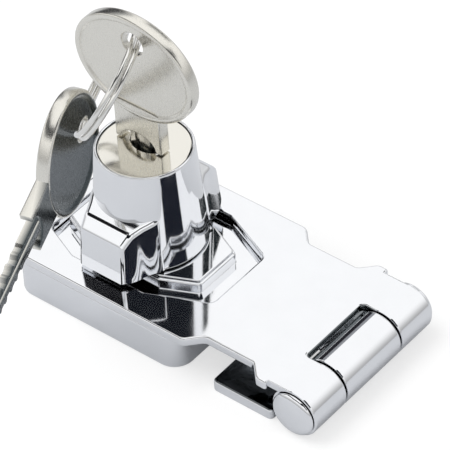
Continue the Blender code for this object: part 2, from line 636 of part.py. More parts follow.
def plug(nickel):
    """The lock plug: a polished head, a slotted body and the crank pin that drives the bolt."""
    groove = RETAINER_RADIUS + RETAINER_CLEARANCE
    low = FACE_TOP - FACE_DEPTH
    profile = [
        (0.0, PLUG_BOTTOM), (PLUG_RADIUS - 0.3 * MM, PLUG_BOTTOM), (PLUG_RADIUS, PLUG_BOTTOM + 0.3 * MM),
        (PLUG_RADIUS, GROOVE_HEIGHT - groove), (PLUG_RADIUS - GROOVE_DEPTH, GROOVE_HEIGHT - groove),
        (PLUG_RADIUS - GROOVE_DEPTH, GROOVE_HEIGHT + groove), (PLUG_RADIUS, GROOVE_HEIGHT + groove),
        (PLUG_RADIUS, low), (FACE_RADIUS, low), (FACE_RADIUS, FACE_TOP - 0.12 * MM),
        (FACE_RADIUS - 0.12 * MM, FACE_TOP), (0.0, FACE_TOP),
    ]
    body = turned("plug", profile, ROUND, "Z", (KNOB_X, 0.0, 0.0))
    half = BLADE_HALF + 0.3 * MM
    thick = BLADE_THICK / 2 + 0.2 * MM
    cut(body, block("keyway", (KNOB_X - half, KEY_OFFSET - thick, BLADE_BOTTOM - 0.5 * MM),
                    (KNOB_X + half, KEY_OFFSET + thick, FACE_TOP + 1 * MM)))
    recess = drum("key_recess", (0.0, 0.0, 0.0), 1.0 * MM, 1.0 * MM, "Z", 24)
    recess.data.transform(Matrix.Translation((KNOB_X, KEY_OFFSET, FACE_TOP - 1.1 * MM))
                          @ Matrix.Diagonal((3.3, 1.6, 2.0, 1.0)))
    cut(body, recess)
    for level in WAFER_LEVELS:
        tall = WAFER_THICK / 2 + WAFER_CLEARANCE
        wide = WAFER_HALF_WIDTH + WAFER_CLEARANCE
        cut(body, block("wafer_slot", (KNOB_X - 6 * MM, KEY_OFFSET - wide, level - tall),
                        (KNOB_X + 6 * MM, KEY_OFFSET + wide, level + tall)))
        lug = KEY_OFFSET - WAFER_HALF_WIDTH - LUG_REACH - WAFER_CLEARANCE
        cut(body, block("spring_pocket", (KNOB_X - SPRING_BACK, lug, level - tall),
                        (KNOB_X + LUG_START + LUG_LENGTH + 2 * WAFER_CLEARANCE, KEY_OFFSET - WAFER_HALF_WIDTH,
                         level + tall)))
    crank = drum("crank", (KNOB_X - CRANK_THROW, CRANK_THROW, PLUG_BOTTOM - CRANK_LENGTH), CRANK_RADIUS,
                 CRANK_LENGTH + 1 * MM, "Z", 12)
    weld(body, crank)
    return finish(body, nickel, (KNOB_X, 0.0, PLUG_BOTTOM))


def wafers(brass, steel):
    """Five sprung wafers, each a plate with a window for the blade and a lug for its spring."""
    half = BLADE_HALF + 0.25 * MM
    thick = BLADE_THICK / 2 + 0.2 * MM
    for number, level in enumerate(WAFER_LEVELS, start=1):
        low = KEY_OFFSET - WAFER_HALF_WIDTH
        high = KEY_OFFSET + WAFER_HALF_WIDTH
        left = KNOB_X - WAFER_HALF_LENGTH
        right = KNOB_X + WAFER_HALF_LENGTH
        lug = KNOB_X + LUG_START
        outline = [Vector(p) for p in (
            (left, low), (lug, low), (lug, low - LUG_REACH), (lug + LUG_LENGTH, low - LUG_REACH),
            (lug + LUG_LENGTH, low), (right, low), (right, high), (left, high))]
        window = [Vector(p) for p in (
            (KNOB_X - half, KEY_OFFSET - thick), (KNOB_X + half, KEY_OFFSET - thick),
            (KNOB_X + half, KEY_OFFSET + thick), (KNOB_X - half, KEY_OFFSET + thick))]
        wafer = plate(f"wafer_{number}", outline, level - WAFER_THICK / 2, level + WAFER_THICK / 2, (window,))
        finish(wafer, brass)
        start = KNOB_X - SPRING_BACK + SPRING_SEAT + SPRING_WIRE
        end = lug - SPRING_SEAT - SPRING_WIRE
        axis_y = low - LUG_REACH / 2
        path = []
        steps = 8 * SPRING_TURNS
        for n in range(steps + 1):
            turn = 2 * math.pi * n / 8
            path.append((start + (end - start) * n / steps, axis_y + SPRING_RADIUS * math.cos(turn),
                         level + SPRING_RADIUS * math.sin(turn)))
        finish(swept(f"wafer_spring_{number}", path, SPRING_WIRE, 5), steel)


def locking_bolt(steel):
    """The bolt in the spindle: the plug's crank pushes it out into one of the collar's notches."""
    low = BORE_FLOOR + BOLT_CLEARANCE
    half = BOLT_HALF_WIDTH
    slot = CRANK_RADIUS + CRANK_CLEARANCE
    slot_x = KNOB_X - CRANK_THROW
    slot_y = CRANK_THROW - slot
    outline = [Vector(p) for p in (
        (KNOB_X - BOLT_TAIL, -half), (KNOB_X + BOLT_REACH - 0.5 * MM, -half),
        (KNOB_X + BOLT_REACH, -half + 0.5 * MM), (KNOB_X + BOLT_REACH, half - 0.5 * MM),
        (KNOB_X + BOLT_REACH - 0.5 * MM, half), (slot_x + slot, half), (slot_x + slot, slot_y),
        (slot_x - slot, slot_y), (slot_x - slot, half), (KNOB_X - BOLT_TAIL, half))]
    return finish(plate("locking_bolt", outline, low, low + BOLT_HEIGHT), steel, (KNOB_X, 0.0, low))


def plug_retainer(steel):
    """The cross pin that lies in the plug's groove and keeps it in the knob."""
    pin = drum("plug_retaining_pin", (KNOB_X - RETAINER_OFFSET, -RETAINER_HALF, GROOVE_HEIGHT),
               RETAINER_RADIUS, 2 * RETAINER_HALF, "Y", 12)
    return finish(pin, steel)


def retaining_washer(steel):
    """The washer under the staple's collar."""
    high = COLLAR_BOTTOM - SEAT_GAP
    washer = plate("retaining_washer", circle(KNOB_X, 0.0, WASHER_RADIUS, 32), high - WASHER_THICK, high,
                   (circle(KNOB_X, 0.0, SPINDLE_NECK + 0.2 * MM, 32),))
    return finish(washer, steel)


def retaining_clip(steel):
    """The open spring clip in the spindle's groove."""
    high = COLLAR_BOTTOM - SEAT_GAP - WASHER_THICK - SEAT_GAP / 2
    inner = SPINDLE_NECK - CLIP_GROOVE + 0.15 * MM
    clip = plate("retaining_clip", circle(KNOB_X, 0.0, CLIP_RADIUS, 32), high - CLIP_THICK, high,
                 (circle(KNOB_X, 0.0, inner, 32),))
    mouth = block("mouth", (KNOB_X, -inner * 0.9, 0.0), (KNOB_X + 2 * CLIP_RADIUS, inner * 0.9, 3 * MM))
    return finish(cut(clip, mouth), steel)


def key_shape(name):
    """A key upright in the XZ plane, its blade down, with its hole at the origin."""
    bow = Vector((0.0, -BOW_HOLE_OFFSET))
    shoulder = -(KEY_HOLE_Z - SHOULDER_Z)
    tip = BLADE_BOTTOM - KEY_HOLE_Z

    def upright(made):
        made.data.transform(Matrix.Rotation(math.radians(90.0), 4, "X"))
        return made

    half = BOW_THICK / 2
    body = plate(name, circle(0.0, bow.y, BOW_RADIUS, ROUND + 8), -half, half, (), KEY_EDGE, KEY_EDGE)
    neck = rounded([
        (-NECK_HALF, shoulder, 0.4 * MM), (-BLADE_HALF - 0.2 * MM, shoulder, 0.0),
        (0.0, shoulder + NECK_ARCH * 0.4, 1.0 * MM), (BLADE_HALF + 0.2 * MM, shoulder, 0.0),
        (NECK_HALF, shoulder, 0.4 * MM), (NECK_HALF + 0.3 * MM, bow.y - BOW_RADIUS * 0.7, 0.0),
        (-NECK_HALF - 0.3 * MM, bow.y - BOW_RADIUS * 0.7, 0.0),
    ], 3)
    weld(body, plate("neck", neck, -half + 0.05 * MM, half - 0.05 * MM, (), KEY_EDGE * 0.6, KEY_EDGE * 0.6))
    for face in (-1, 1):
        low, high = sorted((face * BOW_FIELD / 2, face * (half + 1 * MM)))
        cut(body, plate("field", circle(0.0, bow.y, BOW_RADIUS - BOW_RIM, ROUND + 8), low, high))
    right = []
    top = shoulder + 3 * MM
    for number, depth in enumerate(BIT_DEPTHS):
        centre = WAFER_LEVELS[number] - KEY_HOLE_Z
        right += [(BLADE_HALF, centre + BIT_HALF), (BLADE_HALF - depth * MM, centre + BIT_FLAT),
                  (BLADE_HALF - depth * MM, centre - BIT_FLAT), (BLADE_HALF, centre - BIT_HALF)]
    left = [(-x, y) for x, y in right]
    end = BLADE_HALF * 0.35
    edge = [(-BLADE_HALF, top)] + left + [(-end, tip), (end, tip)] + right[::-1] + [(BLADE_HALF, top)]
    blade_half = BLADE_THICK / 2
    weld(body, plate("blade", [Vector(p) for p in edge], -blade_half, blade_half))
    cut(body, drum("ring_hole", (0.0, 0.0, -5 * MM), BOW_HOLE_RADIUS, 10 * MM, "Z", 24))
    return upright(body)


def keys(nickel):
    """The key in the plug, and the spare that shares its shape."""
    key = finish(key_shape("key"), nickel)
    key.matrix_world = Matrix.Translation((KNOB_X, KEY_OFFSET, KEY_HOLE_Z))
    spare = bpy.data.objects.new("spare_key", key.data)
    bpy.context.scene.collection.objects.link(spare)
    face = SPARE_FACE.normalized()
    up = -(SPARE_BLADE - face * SPARE_BLADE.dot(face)).normalized()
    frame = Matrix((face.cross(up), face, up)).transposed().to_4x4()
    spare.matrix_world = Matrix.Translation(spare_hole()) @ frame
    return key, spare


def key_hole():
    return Vector((KNOB_X, KEY_OFFSET, KEY_HOLE_Z))


def spare_hole():
    return SPARE_HOLE + Vector((KNOB_X, 0.0, LEAF_TOP))


def ring_frame():
    """The ring's centre, its in-plane axes and its normal: a circle through both key holes."""
    chord = key_hole() - spare_hole()
    along = chord.normalized()
    across = (RING_VIEW - along * RING_VIEW.dot(along)).normalized()
    across = Matrix.Rotation(math.radians(RING_TWIST), 3, along) @ across
    normal = along.cross(across)
    drop = math.sqrt(max(RING_RADIUS ** 2 - (chord.length / 2) ** 2, 0.0))
    centre = (key_hole() + spare_hole()) / 2 - across * drop
    return centre, along, across, normal


def key_ring(steel):
    """The split ring: two turns of round wire side by side."""
    centre, along, across, normal = ring_frame()
    steps = 72
    path = []
    for n in range(steps + 1):
        passed = RING_SWEEP * n / steps
        step = min(max((passed - RING_STEP[0]) / (RING_STEP[1] - RING_STEP[0]), 0.0), 1.0)
        rise = RING_PITCH * (step * step * (3.0 - 2.0 * step) - 0.5)
        angle = math.radians(RING_START + passed)
        outward = across * math.cos(angle) + along * math.sin(angle)
        path.append(centre + outward * RING_RADIUS + normal * rise)
    return finish(swept("key_ring", path, RING_WIRE, 8), steel, key_hole())


def build():
    clear_scene()
    chrome = material("chrome", (0.86, 0.87, 0.89), 0.08)
    nickel = material("nickel", (0.80, 0.78, 0.72), 0.22)
    steel = material("steel", (0.68, 0.69, 0.70), 0.28)
    brass = material("brass", (0.78, 0.62, 0.30), 0.3)
    staple_base(chrome)
    hasp_leaf(chrome)
    fixed_leaf(chrome)
    hinge_pin(chrome)
    pin_cap(chrome)
    knob_body(chrome)
    plug(chrome)
    wafers(brass, steel)
    locking_bolt(steel)
    plug_retainer(steel)
    retaining_washer(steel)
    retaining_clip(steel)
    keys(nickel)
    key_ring(steel)


build()
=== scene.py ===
"""A chromed locking hasp with a keyed twist knob, its key and a second key on a split ring.

Every object is in metres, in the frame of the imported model: +X runs from the hasp's free end to its hinge,
+Y across it and +Z away from the door. Each piece is a surface worked out on a grid with numpy.
"""

import json
import math

import bmesh
import bpy
import numpy as np
from bpy.props import FloatProperty, FloatVectorProperty, IntProperty, PointerProperty
from mathutils import Matrix, Vector
from mathutils.geometry import tessellate_polygon


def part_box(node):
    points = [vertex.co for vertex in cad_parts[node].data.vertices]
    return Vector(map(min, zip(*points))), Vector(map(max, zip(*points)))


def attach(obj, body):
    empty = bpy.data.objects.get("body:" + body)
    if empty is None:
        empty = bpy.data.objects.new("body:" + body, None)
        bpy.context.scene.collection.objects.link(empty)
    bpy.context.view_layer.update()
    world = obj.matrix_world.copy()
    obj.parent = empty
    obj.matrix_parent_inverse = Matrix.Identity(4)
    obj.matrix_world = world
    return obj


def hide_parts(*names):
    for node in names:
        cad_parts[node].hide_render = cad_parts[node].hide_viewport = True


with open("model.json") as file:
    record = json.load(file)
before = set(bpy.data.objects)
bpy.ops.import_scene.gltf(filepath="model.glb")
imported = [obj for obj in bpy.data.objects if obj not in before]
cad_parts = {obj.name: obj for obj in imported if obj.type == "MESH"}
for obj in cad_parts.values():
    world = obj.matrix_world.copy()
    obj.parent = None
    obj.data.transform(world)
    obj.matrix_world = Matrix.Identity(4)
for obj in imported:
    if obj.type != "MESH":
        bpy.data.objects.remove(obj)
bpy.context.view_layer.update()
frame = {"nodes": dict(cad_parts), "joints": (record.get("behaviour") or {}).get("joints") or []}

bl_info = {
    "name": "Locking hasp",
    "version": (1, 0, 0),
    "blender": (4, 5, 0),
    "location": "3D View > Sidebar > Hasp",
    "description": "Builds a chromed locking hasp with its knob, keys and split ring",
    "category": "Add Mesh",
}


MM = 0.001
JOINTS = {joint["name"]: joint for joint in frame["joints"]}
STAPLE_LOW, STAPLE_HIGH = (np.array(corner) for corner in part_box("staple_base"))
LEAF_LOW, LEAF_HIGH = (np.array(corner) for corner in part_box("hasp_leaf"))
FIXED_LOW, FIXED_HIGH = (np.array(corner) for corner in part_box("fixed_leaf"))
KNOB_LOW, KNOB_HIGH = (np.array(corner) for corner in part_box("knob_body"))
PLUG_LOW, PLUG_HIGH = (np.array(corner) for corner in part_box("plug"))
KEY_LOW, KEY_HIGH = (np.array(corner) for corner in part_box("key"))
CAP_LOW, CAP_HIGH = (np.array(corner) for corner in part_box("pin_cap"))
HINGE_X, HINGE_Z = JOINTS["leaf_hinge"]["pos_m"][0], JOINTS["leaf_hinge"]["pos_m"][2]
KNOB_X, KNOB_FOOT = JOINTS["knob_turn"]["pos_m"][0], JOINTS["knob_turn"]["pos_m"][2]
KNOB_AXIS = np.array([KNOB_X, 0.0, 0.0])
HINGE_AXIS = np.array([HINGE_X, 0.0, HINGE_Z])
KEY_HOLE = np.array(JOINTS["ring_swing"]["pos_m"])
SPARE_HOLE = np.array(JOINTS["spare_key_swing"]["pos_m"])
SPARE_FACE = np.array(JOINTS["spare_key_swing"]["axis"])
LEAF_TOP = LEAF_HIGH[2]
FLOOR = -0.05 * MM

# The spindle's radii and its tail's top, and the bolt's way through the spindle and the staple
SPINDLE, SPINDLE_TAIL, TAIL_TOP = 5.6 * MM, 4.7 * MM, 2.5 * MM
POCKET_LOW, POCKET_HIGH, POCKET_HALF, POCKET_FLOOR = 2.8 * MM, 5.31 * MM, 2.45 * MM, 5.0 * MM
NOTCH_REACH, NOTCH_HALF, NOTCH_TOP = 7.9 * MM, 2.5 * MM, 5.2 * MM

# The hinge: half widths of the gap and of the middle knuckle, the knuckles' bore and the play at each end
KNUCKLE_GAP, TONGUE_HALF, HINGE_BORE, END_PLAY = 7.4 * MM, 7.0 * MM, 2.45 * MM, 0.15 * MM

# The knob's wing in plan, in millimetres from the knob's axis, from its end to inside the cone,
# and its ridge's height above the leaf at three distances from the axis
WING_FOOT = [(4.6, 12.85), (5.8, 10.6), (6.4, 8.6), (7.7, 5.8), (5.4, 3.6)]
WING_RIDGE = [(4.5, 12.2), (5.0, 10.2), (5.7, 8.4), (7.0, 5.4), (5.2, 3.4)]
RIDGE_AWAY, RIDGE_RISE = (12.2, 10.2, 3.4), (8.35, 10.1, 12.083)

# The keys: from a joint's point down to the bow's centre, the neck and its arch, and the blade's cuts,
# whose levels are heights above the door; and the second key's blade direction and turn about its length
HOLE_TO_BOW = 5.8 * MM
BOW_CENTRE = KEY_HOLE - (0.7 * MM, 0.0, HOLE_TO_BOW)
NECK_HALF, ARCH_HALF, ARCH_RISE = 4.75 * MM, 3.6 * MM, 2.4 * MM
CUT_LEVELS, CUT_DEPTHS = (24.2, 22.0, 19.8, 17.6, 15.4), (0.3, 0.7, 0.45, 0.8, 0.5)
SPARE_DOWN, SPARE_ROLL = np.array([0.272, -0.929, -0.252]), math.radians(-5.0)

# The camera: its bearing, lift and roll, and the image point of the knob's axis at the leaf's top
BEARING, LIFT, ROLL = 0.748, 0.741, 0.084
IMAGE, SENSOR, KNOB_IN_IMAGE = 450.0, 36.0, (151.869, 234.809)
TOWARD_CAMERA = np.array([0.502, -0.541, 0.675])


# Shapes on a grid

def circle(radius, sides, centre=(0.0, 0.0)):
    """Points on a circle, counter-clockwise."""
    angle = 2.0 * np.pi * np.arange(sides) / sides
    return np.array(centre) + radius * np.stack([np.cos(angle), np.sin(angle)], axis=1)


def rounded(corners_of, steps):
    """An outline from (x, y, radius) corners, each radius an arc that touches both sides.

    The arc's centre lies on the corner's bisector, at radius / sin(half angle) from the corner.
    """
    spots = np.array(corners_of, dtype=float)
    outline = []
    for here, before, after in zip(spots, np.roll(spots, 1, axis=0), np.roll(spots, -1, axis=0)):
        if here[2] <= 0.0:
            outline.append(here[None, :2])
            continue
        back = (before - here)[:2] / np.linalg.norm((before - here)[:2])
        ahead = (after - here)[:2] / np.linalg.norm((after - here)[:2])
        half = 0.5 * math.acos(float(np.clip(back @ ahead, -1.0, 1.0)))
        middle = (back + ahead) / np.linalg.norm(back + ahead)
        centre = here[:2] + middle * here[2] / math.sin(half)
        first = here[:2] + back * here[2] / math.tan(half) - centre
        last = here[:2] + ahead * here[2] / math.tan(half) - centre
        share = np.linspace(0.0, 1.0, steps + 1)[:, None]
        sweep = math.pi - 2.0 * half
        arc = (np.sin((1.0 - share) * sweep) * first + np.sin(share * sweep) * last) / math.sin(sweep)
        outline.append(centre + arc)
    return np.concatenate(outline)


def lozenge(length, back, tip_half, flat, half_width, corner, steps):
    """A long hexagon with cut-off tips about the origin, wide for flat to each side and then tapering."""
    slope = (half_width - tip_half) / (length - flat)
    back_half = half_width - slope * (back - flat)
    return rounded([
        (length, -tip_half, corner), (length, tip_half, corner), (flat, half_width, corner),
        (-flat, half_width, corner), (-back, back_half, corner), (-back, -back_half, corner),
        (-flat, -half_width, corner), (flat, -half_width, corner),
    ], steps)


def inset(outline, distance):
    """A counter-clockwise outline moved inward, each point along its mitred normal."""
    along = np.roll(outline, -1, axis=0) - outline
    along /= np.linalg.norm(along, axis=1)[:, None]
    inward = np.stack([-along[:, 1], along[:, 0]], axis=1)
    both = inward + np.roll(inward, 1, axis=0)
    return outline + both * (2.0 * distance / (both ** 2).sum(axis=1))[:, None]


def reach(outline, angles):
    """The distance from the origin to a closed outline along each angle: where each ray crosses its edge."""
    bearing = np.unwrap(np.arctan2(outline[:, 1], outline[:, 0]))
    bearing = np.append(bearing, bearing[0] + 2.0 * np.pi)
    closed = np.vstack([outline, outline[:1]])
    turned_to = bearing[0] + (angles - bearing[0]) % (2.0 * np.pi)
    side = np.clip(np.searchsorted(bearing, turned_to, side="right") - 1, 0, len(outline) - 1)
    start, edge = closed[side], closed[side + 1] - closed[side]
    over = start[:, 0] * edge[:, 1] - start[:, 1] * edge[:, 0]
    under = np.cos(angles) * edge[:, 1] - np.sin(angles) * edge[:, 0]
    return over / under


def polar_skin(lengths, angle, heights, across=0.0):
    """Rows of points round an upright line at the knob's axis, or moved across from it.

    Each row has one height, and a length from the line for each angle.
    """
    return np.stack([KNOB_X + lengths * np.cos(angle), across + lengths * np.sin(angle),
                     np.broadcast_to(np.array(heights)[:, None], lengths.shape)], axis=-1)


def spline(points, steps):
    """A smooth curve through points: each span is a cubic.

    At each point the curve runs along half the chord between the point's neighbours.
    """
    spots = np.array(points, dtype=float)
    slope = np.gradient(spots, axis=0)
    slope[0], slope[-1] = spots[1] - spots[0], spots[-1] - spots[-2]
    share = np.linspace(0.0, 1.0, steps, endpoint=False)[:, None]
    spans = []
    for here, there, out, into in zip(spots, spots[1:], slope, slope[1:]):
        spans.append((2 * share ** 3 - 3 * share ** 2 + 1) * here
                     + (share ** 3 - 2 * share ** 2 + share) * out
                     + (3 * share ** 2 - 2 * share ** 3) * there
                     + (share ** 3 - share ** 2) * into)
    return np.concatenate(spans + [spots[-1:]])


def grid_faces(rows, columns, close_rows=False, first=0):
    """The quads of a grid of points, joined round its columns and, where asked, its rows."""
    row, column = np.meshgrid(np.arange(rows - (not close_rows)), np.arange(columns), indexing="ij")
    next_row, next_column = (row + 1) % rows, (column + 1) % columns
    quads = [row * columns + column, row * columns + next_column,
             next_row * columns + next_column, next_row * columns + column]
    return (np.stack(quads, axis=-1).reshape(-1, 4) + first).tolist()


def arc_rim(start, end, steps, bulge):
    """Rows of a quarter-round between two (inset, height) points.

    It is level at the first point where bulge is true, and at the second where it is false.
    """
    share = np.linspace(0.0, 1.0, steps + 1)[1:-1] * np.pi / 2.0
    over, rise = (np.sin(share), 1.0 - np.cos(share)) if bulge else (1.0 - np.cos(share), np.sin(share))
    inner = np.stack([start[0] + (end[0] - start[0]) * over, start[1] + (end[1] - start[1]) * rise], axis=1)
    return [tuple(start)] + [tuple(point) for point in inner] + [tuple(end)]


class Shape:
    """Points and faces gathered from several grids, then made into one mesh."""

    def __init__(self):
        self.points, self.faces = [], []

    @property
    def count(self):
        """The number of points so far."""
        return sum(len(block) for block in self.points)

    def grid(self, points, close_rows=False, caps=False):
        """A grid of points, closed round its columns, with its end rows filled where asked."""
        rows, columns = points.shape[:2]
        first = self.count
        self.points.append(points.reshape(-1, 3))
        self.faces += grid_faces(rows, columns, close_rows, first)
        if caps:
            self.faces.append(list(range(first, first + columns)))
            self.faces.append(list(range(first + (rows - 1) * columns, first + rows * columns)))
        return self

    def slab(self, loops, turn=None):
        """A flat plate between loops of (outline, sign, rows), each row an (inset, height).

        Each outline is carried up its rows from the lower flat to the upper, moved in by the row's inset
        times the sign, and the two flats between the loops' first and last rows are filled.
        """
        ends = [[], []]
        numbers = [[], []]
        for outline, sign, rows in loops:
            levels = [np.column_stack([inset(outline, back * sign), np.full(len(outline), height)])
                      for back, height in rows]
            first = self.count
            stack = np.array(levels)
            for end, level in enumerate((0, len(levels) - 1)):
                ends[end].append(levels[level][:, :2])
                numbers[end].append(first + level * len(outline) + np.arange(len(outline)))
            self.grid(stack if turn is None else stack @ turn.T)
        for end in (0, 1):
            number = np.concatenate(numbers[end])
            rings = [np.column_stack([ring, np.zeros(len(ring))]).tolist() for ring in ends[end]]
            self.faces += number[np.array(tessellate_polygon(rings))].tolist()
        return self

    def turned(self, profile, sides, centre=(0.0, 0.0, 0.0), axis="Z", closed=False):
        """A surface of revolution: (radius, height) points carried round the axis through the centre."""
        radius, height = np.array(profile, dtype=float).T
        angle = 2.0 * np.pi * np.arange(sides) / sides
        around = np.stack([radius[:, None] * np.cos(angle), radius[:, None] * np.sin(angle),
                           np.broadcast_to(height[:, None], (len(radius), sides))], axis=-1)
        if axis == "Y":
            around = around[..., [0, 2, 1]]
        return self.grid(around + np.array(centre), close_rows=closed)

    def moved(self, matrix, place):
        """The shape turned by the matrix and then carried to the place."""
        self.points = [block @ matrix.T + place for block in self.points]
        return self

    def mesh(self, name, sharp=34.0):
        """The shape as a mesh with its poles closed and its faces outward, smooth but for its creases."""
        data = bpy.data.meshes.new(name)
        data.from_pydata(np.concatenate(self.points).tolist(), [], self.faces)
        work = bmesh.new()
        work.from_mesh(data)
        bmesh.ops.remove_doubles(work, verts=work.verts, dist=2e-7)
        bmesh.ops.dissolve_degenerate(work, dist=1e-7, edges=work.edges)
        bmesh.ops.recalc_face_normals(work, faces=work.faces)
        work.to_mesh(data)
        work.free()
        data.shade_smooth()
        data.set_sharp_from_angle(angle=math.radians(sharp))
        return data


def spots_of(mesh):
    """The mesh's points, one in each row."""
    spots = np.zeros(len(mesh.vertices) * 3)
    mesh.vertices.foreach_get("co", spots)
    return spots.reshape(-1, 3)


def tarnish(mesh, where, share=1.0):
    """Write how much painted shade each point gets: the share where asked, and nothing elsewhere. It stands
    in for shade in gaps and recesses and for dark reflections.
    """
    layer = mesh.attributes.new("tarnish", "FLOAT", "POINT")
    layer.data.foreach_set("value", np.where(where, share, 0.0))


def place_piece(name, mesh, finish, body, nodes):
    """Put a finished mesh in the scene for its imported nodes, with its material, on its body."""
    piece = bpy.data.objects.new(name, mesh)
    bpy.context.scene.collection.objects.link(piece)
    piece.data.materials.append(finish)
    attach(piece, body)
    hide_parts(*nodes)
    return piece


# Finishes

def fill(tree, node, sockets):
    """Set a node's sockets by name or number, or link them where the value is another node's output."""
    for name, value in sockets.items():
        if isinstance(value, bpy.types.NodeSocket):
            tree.links.new(value, node.inputs[name])
        else:
            node.inputs[name].default_value = value


def add_node(tree, kind, sockets=None, **settings):
    """A new node with its settings and then its sockets."""
    node = tree.nodes.new(kind)
    for name, value in settings.items():
        setattr(node, name, value)
    fill(tree, node, sockets or {})
    return node


def metal(name, colour, roughness, grain, dent, brushed=None):
    """Metal with a faint cloudy tone and roughness or, where brushed, fine drawn lines along one way.

    A cloud of noise mixes a slightly darker and a slightly lighter tone, and the mesh's painted shade mixes
    in a dark grey that stands in for shade and dark reflections. The same cloud, or the drawn lines where
    brushed, sets the roughness and the bump.
    """
    made = bpy.data.materials.get(name)
    if made:
        return made
    made = bpy.data.materials.new(name)
    made.use_nodes = True
    tree = made.node_tree
    place = add_node(tree, "ShaderNodeTexCoord").outputs["Object"]
    cloud = add_node(tree, "ShaderNodeTexNoise", {"Scale": grain, "Detail": 4.0, "Vector": place})
    marks = cloud.outputs["Fac"]
    tone = add_node(tree, "ShaderNodeMix", {
        "Factor": marks, "A": (*(0.965 * part for part in colour), 1.0),
        "B": (*(min(1.02 * part, 1.0) for part in colour), 1.0),
    }, data_type="RGBA")
    # Painted shade: the dark grey below is mixed in where the mesh's attribute asks, standing in for shade in
    # gaps and recesses and for dark reflections.
    painted_layer = add_node(tree, "ShaderNodeAttribute", attribute_name="tarnish")
    shaded_tone = add_node(tree, "ShaderNodeMix", {
        "Factor": painted_layer.outputs["Fac"], "A": tone.outputs["Result"], "B": (0.09, 0.105, 0.11, 1.0),
    }, data_type="RGBA")
    if brushed:
        drawn = add_node(tree, "ShaderNodeMapping", {"Scale": brushed, "Vector": place}).outputs["Vector"]
        lines = add_node(tree, "ShaderNodeTexNoise", {"Scale": 1.0, "Detail": 3.0, "Vector": drawn})
        marks = lines.outputs["Fac"]
    spread = add_node(tree, "ShaderNodeMapRange", {
        "Value": marks, "From Min": 0.3, "From Max": 0.7,
        "To Min": roughness * 0.8, "To Max": roughness * 1.25,
    })
    bump = add_node(tree, "ShaderNodeBump", {"Strength": 1.0, "Distance": dent, "Height": marks})
    fill(tree, tree.nodes["Principled BSDF"], {
        "Metallic": 1.0, "Base Color": shaded_tone.outputs["Result"], "Roughness": spread.outputs["Result"],
        "Normal": bump.outputs["Normal"],
    })
    return made


def chrome():
    """Chrome plate over polished zinc and steel."""
    finish = bpy.context.scene.hasp_finish
    return metal("chrome_plate", finish.chrome, finish.chrome_roughness, grain=260.0, dent=0.6e-6)


def nickel():
    """Nickel plate on the keys, rubbed dull."""
    finish = bpy.context.scene.hasp_finish
    return metal("nickel_plate", finish.nickel, finish.nickel_roughness, grain=420.0, dent=0.05e-6,
                 brushed=(14000.0, 14000.0, 1500.0))


def plug_face():
    """The plug's polished nickel."""
    return metal("plug_nickel", bpy.context.scene.hasp_finish.nickel, 0.1, grain=300.0, dent=0.5e-6)


def spring_steel():
    """Drawn steel wire and stamped steel."""
    return metal("spring_steel", bpy.context.scene.hasp_finish.steel, 0.16, grain=500.0, dent=0.8e-6)


def brass():
    """Stamped brass."""
    return metal("wafer_brass", bpy.context.scene.hasp_finish.brass, 0.3, grain=700.0, dent=1.5e-6,
                 brushed=(5000.0, 500.0, 5000.0))


# Sizes and pieces

def size_of(name, description, millimetres):
    """A length that the user may change, its default given in millimetres."""
    return FloatProperty(name=name, description=description, unit="LENGTH", default=millimetres * MM)


def colour_of(name, description, *colour):
    """A colour that the user may change."""
    return FloatVectorProperty(name=name, description=description, subtype="COLOR", size=3, min=0.0, max=1.0,
                               default=colour)


def factor_of(name, description, default):
    """A share from 0 to 1 that the user may change."""
    return FloatProperty(name=name, description=description, subtype="FACTOR", min=0.0, max=1.0,
                         default=default)


class HaspFinish(bpy.types.PropertyGroup):
    """The colours of the metals."""

    chrome: colour_of("Chrome", "Colour of the chrome plate", 0.86, 0.87, 0.89)
    chrome_roughness: factor_of("Chrome roughness", "Dullness of the chrome plate", 0.07)
    nickel: colour_of("Nickel", "Colour of the keys and the plug", 0.80, 0.78, 0.72)
    nickel_roughness: factor_of("Nickel roughness", "Dullness of the keys", 0.24)
    steel: colour_of("Steel", "Colour of the ring and the springs", 0.84, 0.83, 0.80)
    brass: colour_of("Brass", "Colour of the wafers", 0.78, 0.62, 0.30)


class HaspLeafSizes(bpy.types.PropertyGroup):
    """Sizes of the hasp leaf and its slot; stations along the leaf are measured from the knob's axis."""

    thickness: size_of("Leaf thickness", "Thickness of the stamped leaf", 1.6)
    edge: size_of("Leaf edge", "Rounding of the leaf's upper rim", 0.4)
    corner: size_of("Leaf corner", "Radius of the free end's corners", 4.0)
    waist: size_of("Waist width", "Width of the leaf between staple and hinge", 27.3)
    shoulder_end: size_of("Shoulder end", "Where the wide end of the leaf turns in", 19.7)
    waist_start: size_of("Waist start", "Where the waist starts", 22.3)
    waist_end: size_of("Waist end", "Where the waist ends", 32.2)
    head_start: size_of("Head start", "Where the part beside the hinge reaches its width", 34.7)
    slot_width: size_of("Slot width", "Full width of the slot beside the knob", 22.6)
    slot_end: size_of("Slot end", "Reach of the slot toward the hinge", 18.3)
    slot_back: size_of("Slot back", "Reach of the slot toward the free end", 15.1)
    slot_tip: size_of("Slot tip", "Half the slot's width at its end", 6.7)
    slot_flat: size_of("Slot flat", "Half the length over which the slot keeps its width", 7.6)


def knuckle(shape, start, end):
    """A hinge knuckle: a tube's section of bore, chamfers and outside, carried round the hinge axis."""
    radius, bore, soft, hold = HINGE_Z, HINGE_BORE, 0.25 * MM, 0.05 * MM
    chamfer = 0.1 * MM
    rise = soft * (1.0 - math.cos(math.pi / 4.0))
    shape.turned([
        (bore, start + chamfer), (bore + chamfer, start), (radius - soft - hold, start),
        (radius - soft, start), (radius - rise, start + rise), (radius, start + soft),
        (radius, start + soft + hold), (radius, end - soft - hold), (radius, end - soft),
        (radius - rise, end - rise), (radius - soft, end), (radius - soft - hold, end),
        (bore + chamfer, end), (bore, end - chamfer),
    ], 96, HINGE_AXIS, "Y", closed=True)


